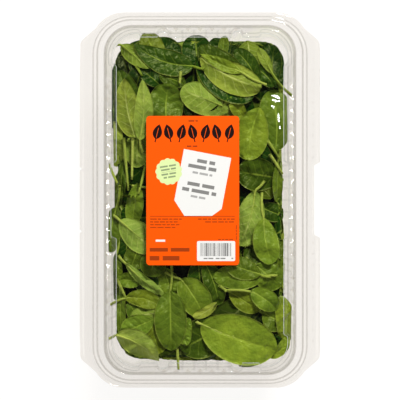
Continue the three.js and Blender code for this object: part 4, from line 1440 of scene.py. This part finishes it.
def lay_top():
    """The heap's top: leaves deep below, a few under the label and those that show."""
    field = Field((-MOUTH_X, -MOUTH_Y), (MOUTH_X, MOUTH_Y), domed)
    under, middle, shown = Heap(field, *DEEP_GRID), Heap(field, *MIDDLE_GRID), Heap(field, *SHOWN_GRID)
    corner = np.array([HEAP_X - UNDER_MARGIN, HEAP_Y - UNDER_MARGIN])
    # The deep leaves get tones below 0: painted shade for where they lie under the others
    for spot in scattered(rng, -corner, corner, UNDER_PITCH):
        if not in_pit(*spot):
            under.lay(random_leaf(rng, spot, 1.3, (-1.25, -0.3), (-5, -1)))
    low, high = LABEL_LOW[:2] + LABEL_MARGIN, LABEL_HIGH[:2] - LABEL_MARGIN
    for spot in scattered(label_rng, low, high, LABEL_PITCH):
        middle.lay(random_leaf(label_rng, spot, 1.0, (0.05, 0.6), small=32, large=46))
    for leaf in TOP_LEAVES:
        shown.lay(leaf)
    return presser(field), shown, under, middle


def lay_side():
    heap = Heap(Field((0, 0), (int(PERIMETER), SIDE_HIGH), flat, wraps=True), *DEEP_GRID)
    for spot in scattered(rng, (0, SIDE_MARGIN), (PERIMETER, SIDE_HIGH - SIDE_MARGIN), SIDE_PITCH):
        heap.lay(random_leaf(rng, spot, 0.7, HIDDEN_TONES))
    return heap


def lay_bottom():
    heap = Heap(Field((-MOUTH_X, -MOUTH_Y), (MOUTH_X, MOUTH_Y), flat), *BOTTOM_GRID)
    for spot in scattered(rng, (-56, -122), (56, 122), BOTTOM_PITCH):
        heap.lay(random_leaf(rng, spot, 0.3, HIDDEN_TONES))
    return heap


def make_core():
    """What lies too deep between the leaves to tell apart, coloured near-black as painted shade."""
    # Painted shade: the near-black colour stands in for the shadow deep in the heap
    dark = plain("deep_leaves_painted_shade", linear(7, 15, 3), 0.8, 0.05)
    ring = Ring([-60, 0, 60], [-20, 0, 20])
    levels = [(9, 8.5), (6.5, 12), (5.2, 60), (7, CORE_TOP - 1), (12, CORE_TOP)]
    rows = [ring.points(HEAP_X - inset, HEAP_Y - inset, 14, z) for inset, z in levels]
    faces = capped_faces(len(rows), len(rows[0]))
    return make_mesh("leaves_core", np.concatenate(rows), faces, [dark], "base")


def make_leaves():
    """The heap: leaves on all its faces round a dark core of painted shade."""
    material, shaded = leaf_material("leaf", LEAF_SHINE), leaf_material("leaf_shaded", SHADED_SHINE)
    press, shown, under, middle = lay_top()
    side, bottom = lay_side(), lay_bottom()
    pieces = [
        shown.make("leaves_top", material, press),
        under.make("leaves_under", shaded, press),
        middle.make("leaves_middle", material, press),
        side.make("leaves_side", material, place_side),
        bottom.make("leaves_bottom", material, place_bottom),
        make_core(),
    ]
    for piece in pieces:
        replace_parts(piece, "spinach")


# The studio

# Lights: place and size in metres, and power
KEY = ((0.6, 1.8, 2.0), 0.6, 95)
FILL = ((-1.7, -0.4, 1.9), 1.2, 7)
LIT_POINT = (0, 0, 0.05)
# The world's strength round the sides and overhead, and between which heights it changes
WORLD_SIDE, WORLD_OVERHEAD = 0.36, 0.05
WORLD_CHANGE = (0.8, 0.98)
FLOOR_HALF = 2500
FLOOR_GREY, FLOOR_GLOW = 0.12, 0.92
CAMERA_HEIGHT = 1250.0
VIEW_WIDTH = 332.8
SENSOR = 36.0
SHEETS_SEEN_THROUGH = 24


def add_object(name, data):
    made = bpy.data.objects.new(name, data)
    bpy.context.scene.collection.objects.link(made)
    return made


def area_light(name, place, size, power):
    data = bpy.data.lights.new(name, "AREA")
    data.size = size
    data.energy = power
    light = add_object(name, data)
    light.location = place
    light.rotation_euler = (Vector(LIT_POINT) - Vector(place)).to_track_quat("-Z", "Y").to_euler()


def make_world():
    """Pale all round and dim overhead, so that the flat lid mirrors little."""
    world = bpy.data.worlds.new("studio")
    bpy.context.scene.world = world
    world.use_nodes = True
    tree = world.node_tree
    place = tree.nodes.new("ShaderNodeTexCoord")
    split = tree.nodes.new("ShaderNodeSeparateXYZ")
    ramp = tree.nodes.new("ShaderNodeMapRange")
    back = tree.nodes["Background"]
    tree.links.new(place.outputs["Generated"], split.inputs[0])
    tree.links.new(split.outputs["Z"], ramp.inputs["Value"])
    ends = zip(("From Min", "From Max", "To Min", "To Max"), (*WORLD_CHANGE, WORLD_SIDE, WORLD_OVERHEAD))
    for key, value in ends:
        ramp.inputs[key].default_value = value
    back.inputs["Color"].default_value = (1, 0.99, 0.97, 1)
    tree.links.new(ramp.outputs["Result"], back.inputs["Strength"])


def make_floor():
    corners = [(sx * FLOOR_HALF, sy * FLOOR_HALF, 0) for sx, sy in QUARTERS]
    white = plain("floor_white", (FLOOR_GREY, FLOOR_GREY, FLOOR_GREY, 1), 0.8, 0.0)
    shader = white.node_tree.nodes["Principled BSDF"]
    shader.inputs["Emission Color"].default_value = (1, 0.99, 0.975, 1)
    shader.inputs["Emission Strength"].default_value = FLOOR_GLOW
    floor = make_mesh("floor", corners, [(0, 1, 2, 3)], [white], None, smooth=False)


def make_studio():
    make_floor()
    make_world()
    area_light("key", *KEY)
    area_light("fill", *FILL)
    camera = add_object("camera", bpy.data.cameras.new("camera"))
    camera.location = (0, 0, CAMERA_HEIGHT * MM)
    camera.data.sensor_width = SENSOR
    camera.data.lens = SENSOR * (CAMERA_HEIGHT - FLANGE_TOP) / VIEW_WIDTH
    scene = bpy.context.scene
    scene.camera = camera
    scene.view_settings.view_transform = "Standard"
    scene.cycles.transparent_max_bounces = SHEETS_SEEN_THROUGH


# The tint that light takes through each sheet: where it's flat, where it bends and where it's steep
tray_plastic = clear_plastic("clear_tray", (0.975, 0.966, 0.953), (0.8, 0.785, 0.76), (0.88, 0.86, 0.83))
lid_plastic = clear_plastic("clear_lid", (0.98, 0.974, 0.967), (0.79, 0.78, 0.765), (0.72, 0.71, 0.69))
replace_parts(make_tray(tray_plastic), "tray")
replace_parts(make_lid(lid_plastic), "lid")
make_painted_edge_highlight()
make_fold(lid_plastic)
make_bumps(lid_plastic)
make_creases(lid_plastic)
make_flute_tips(tray_plastic)
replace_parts(make_label()[0], "label")
make_leaves()
make_studio()
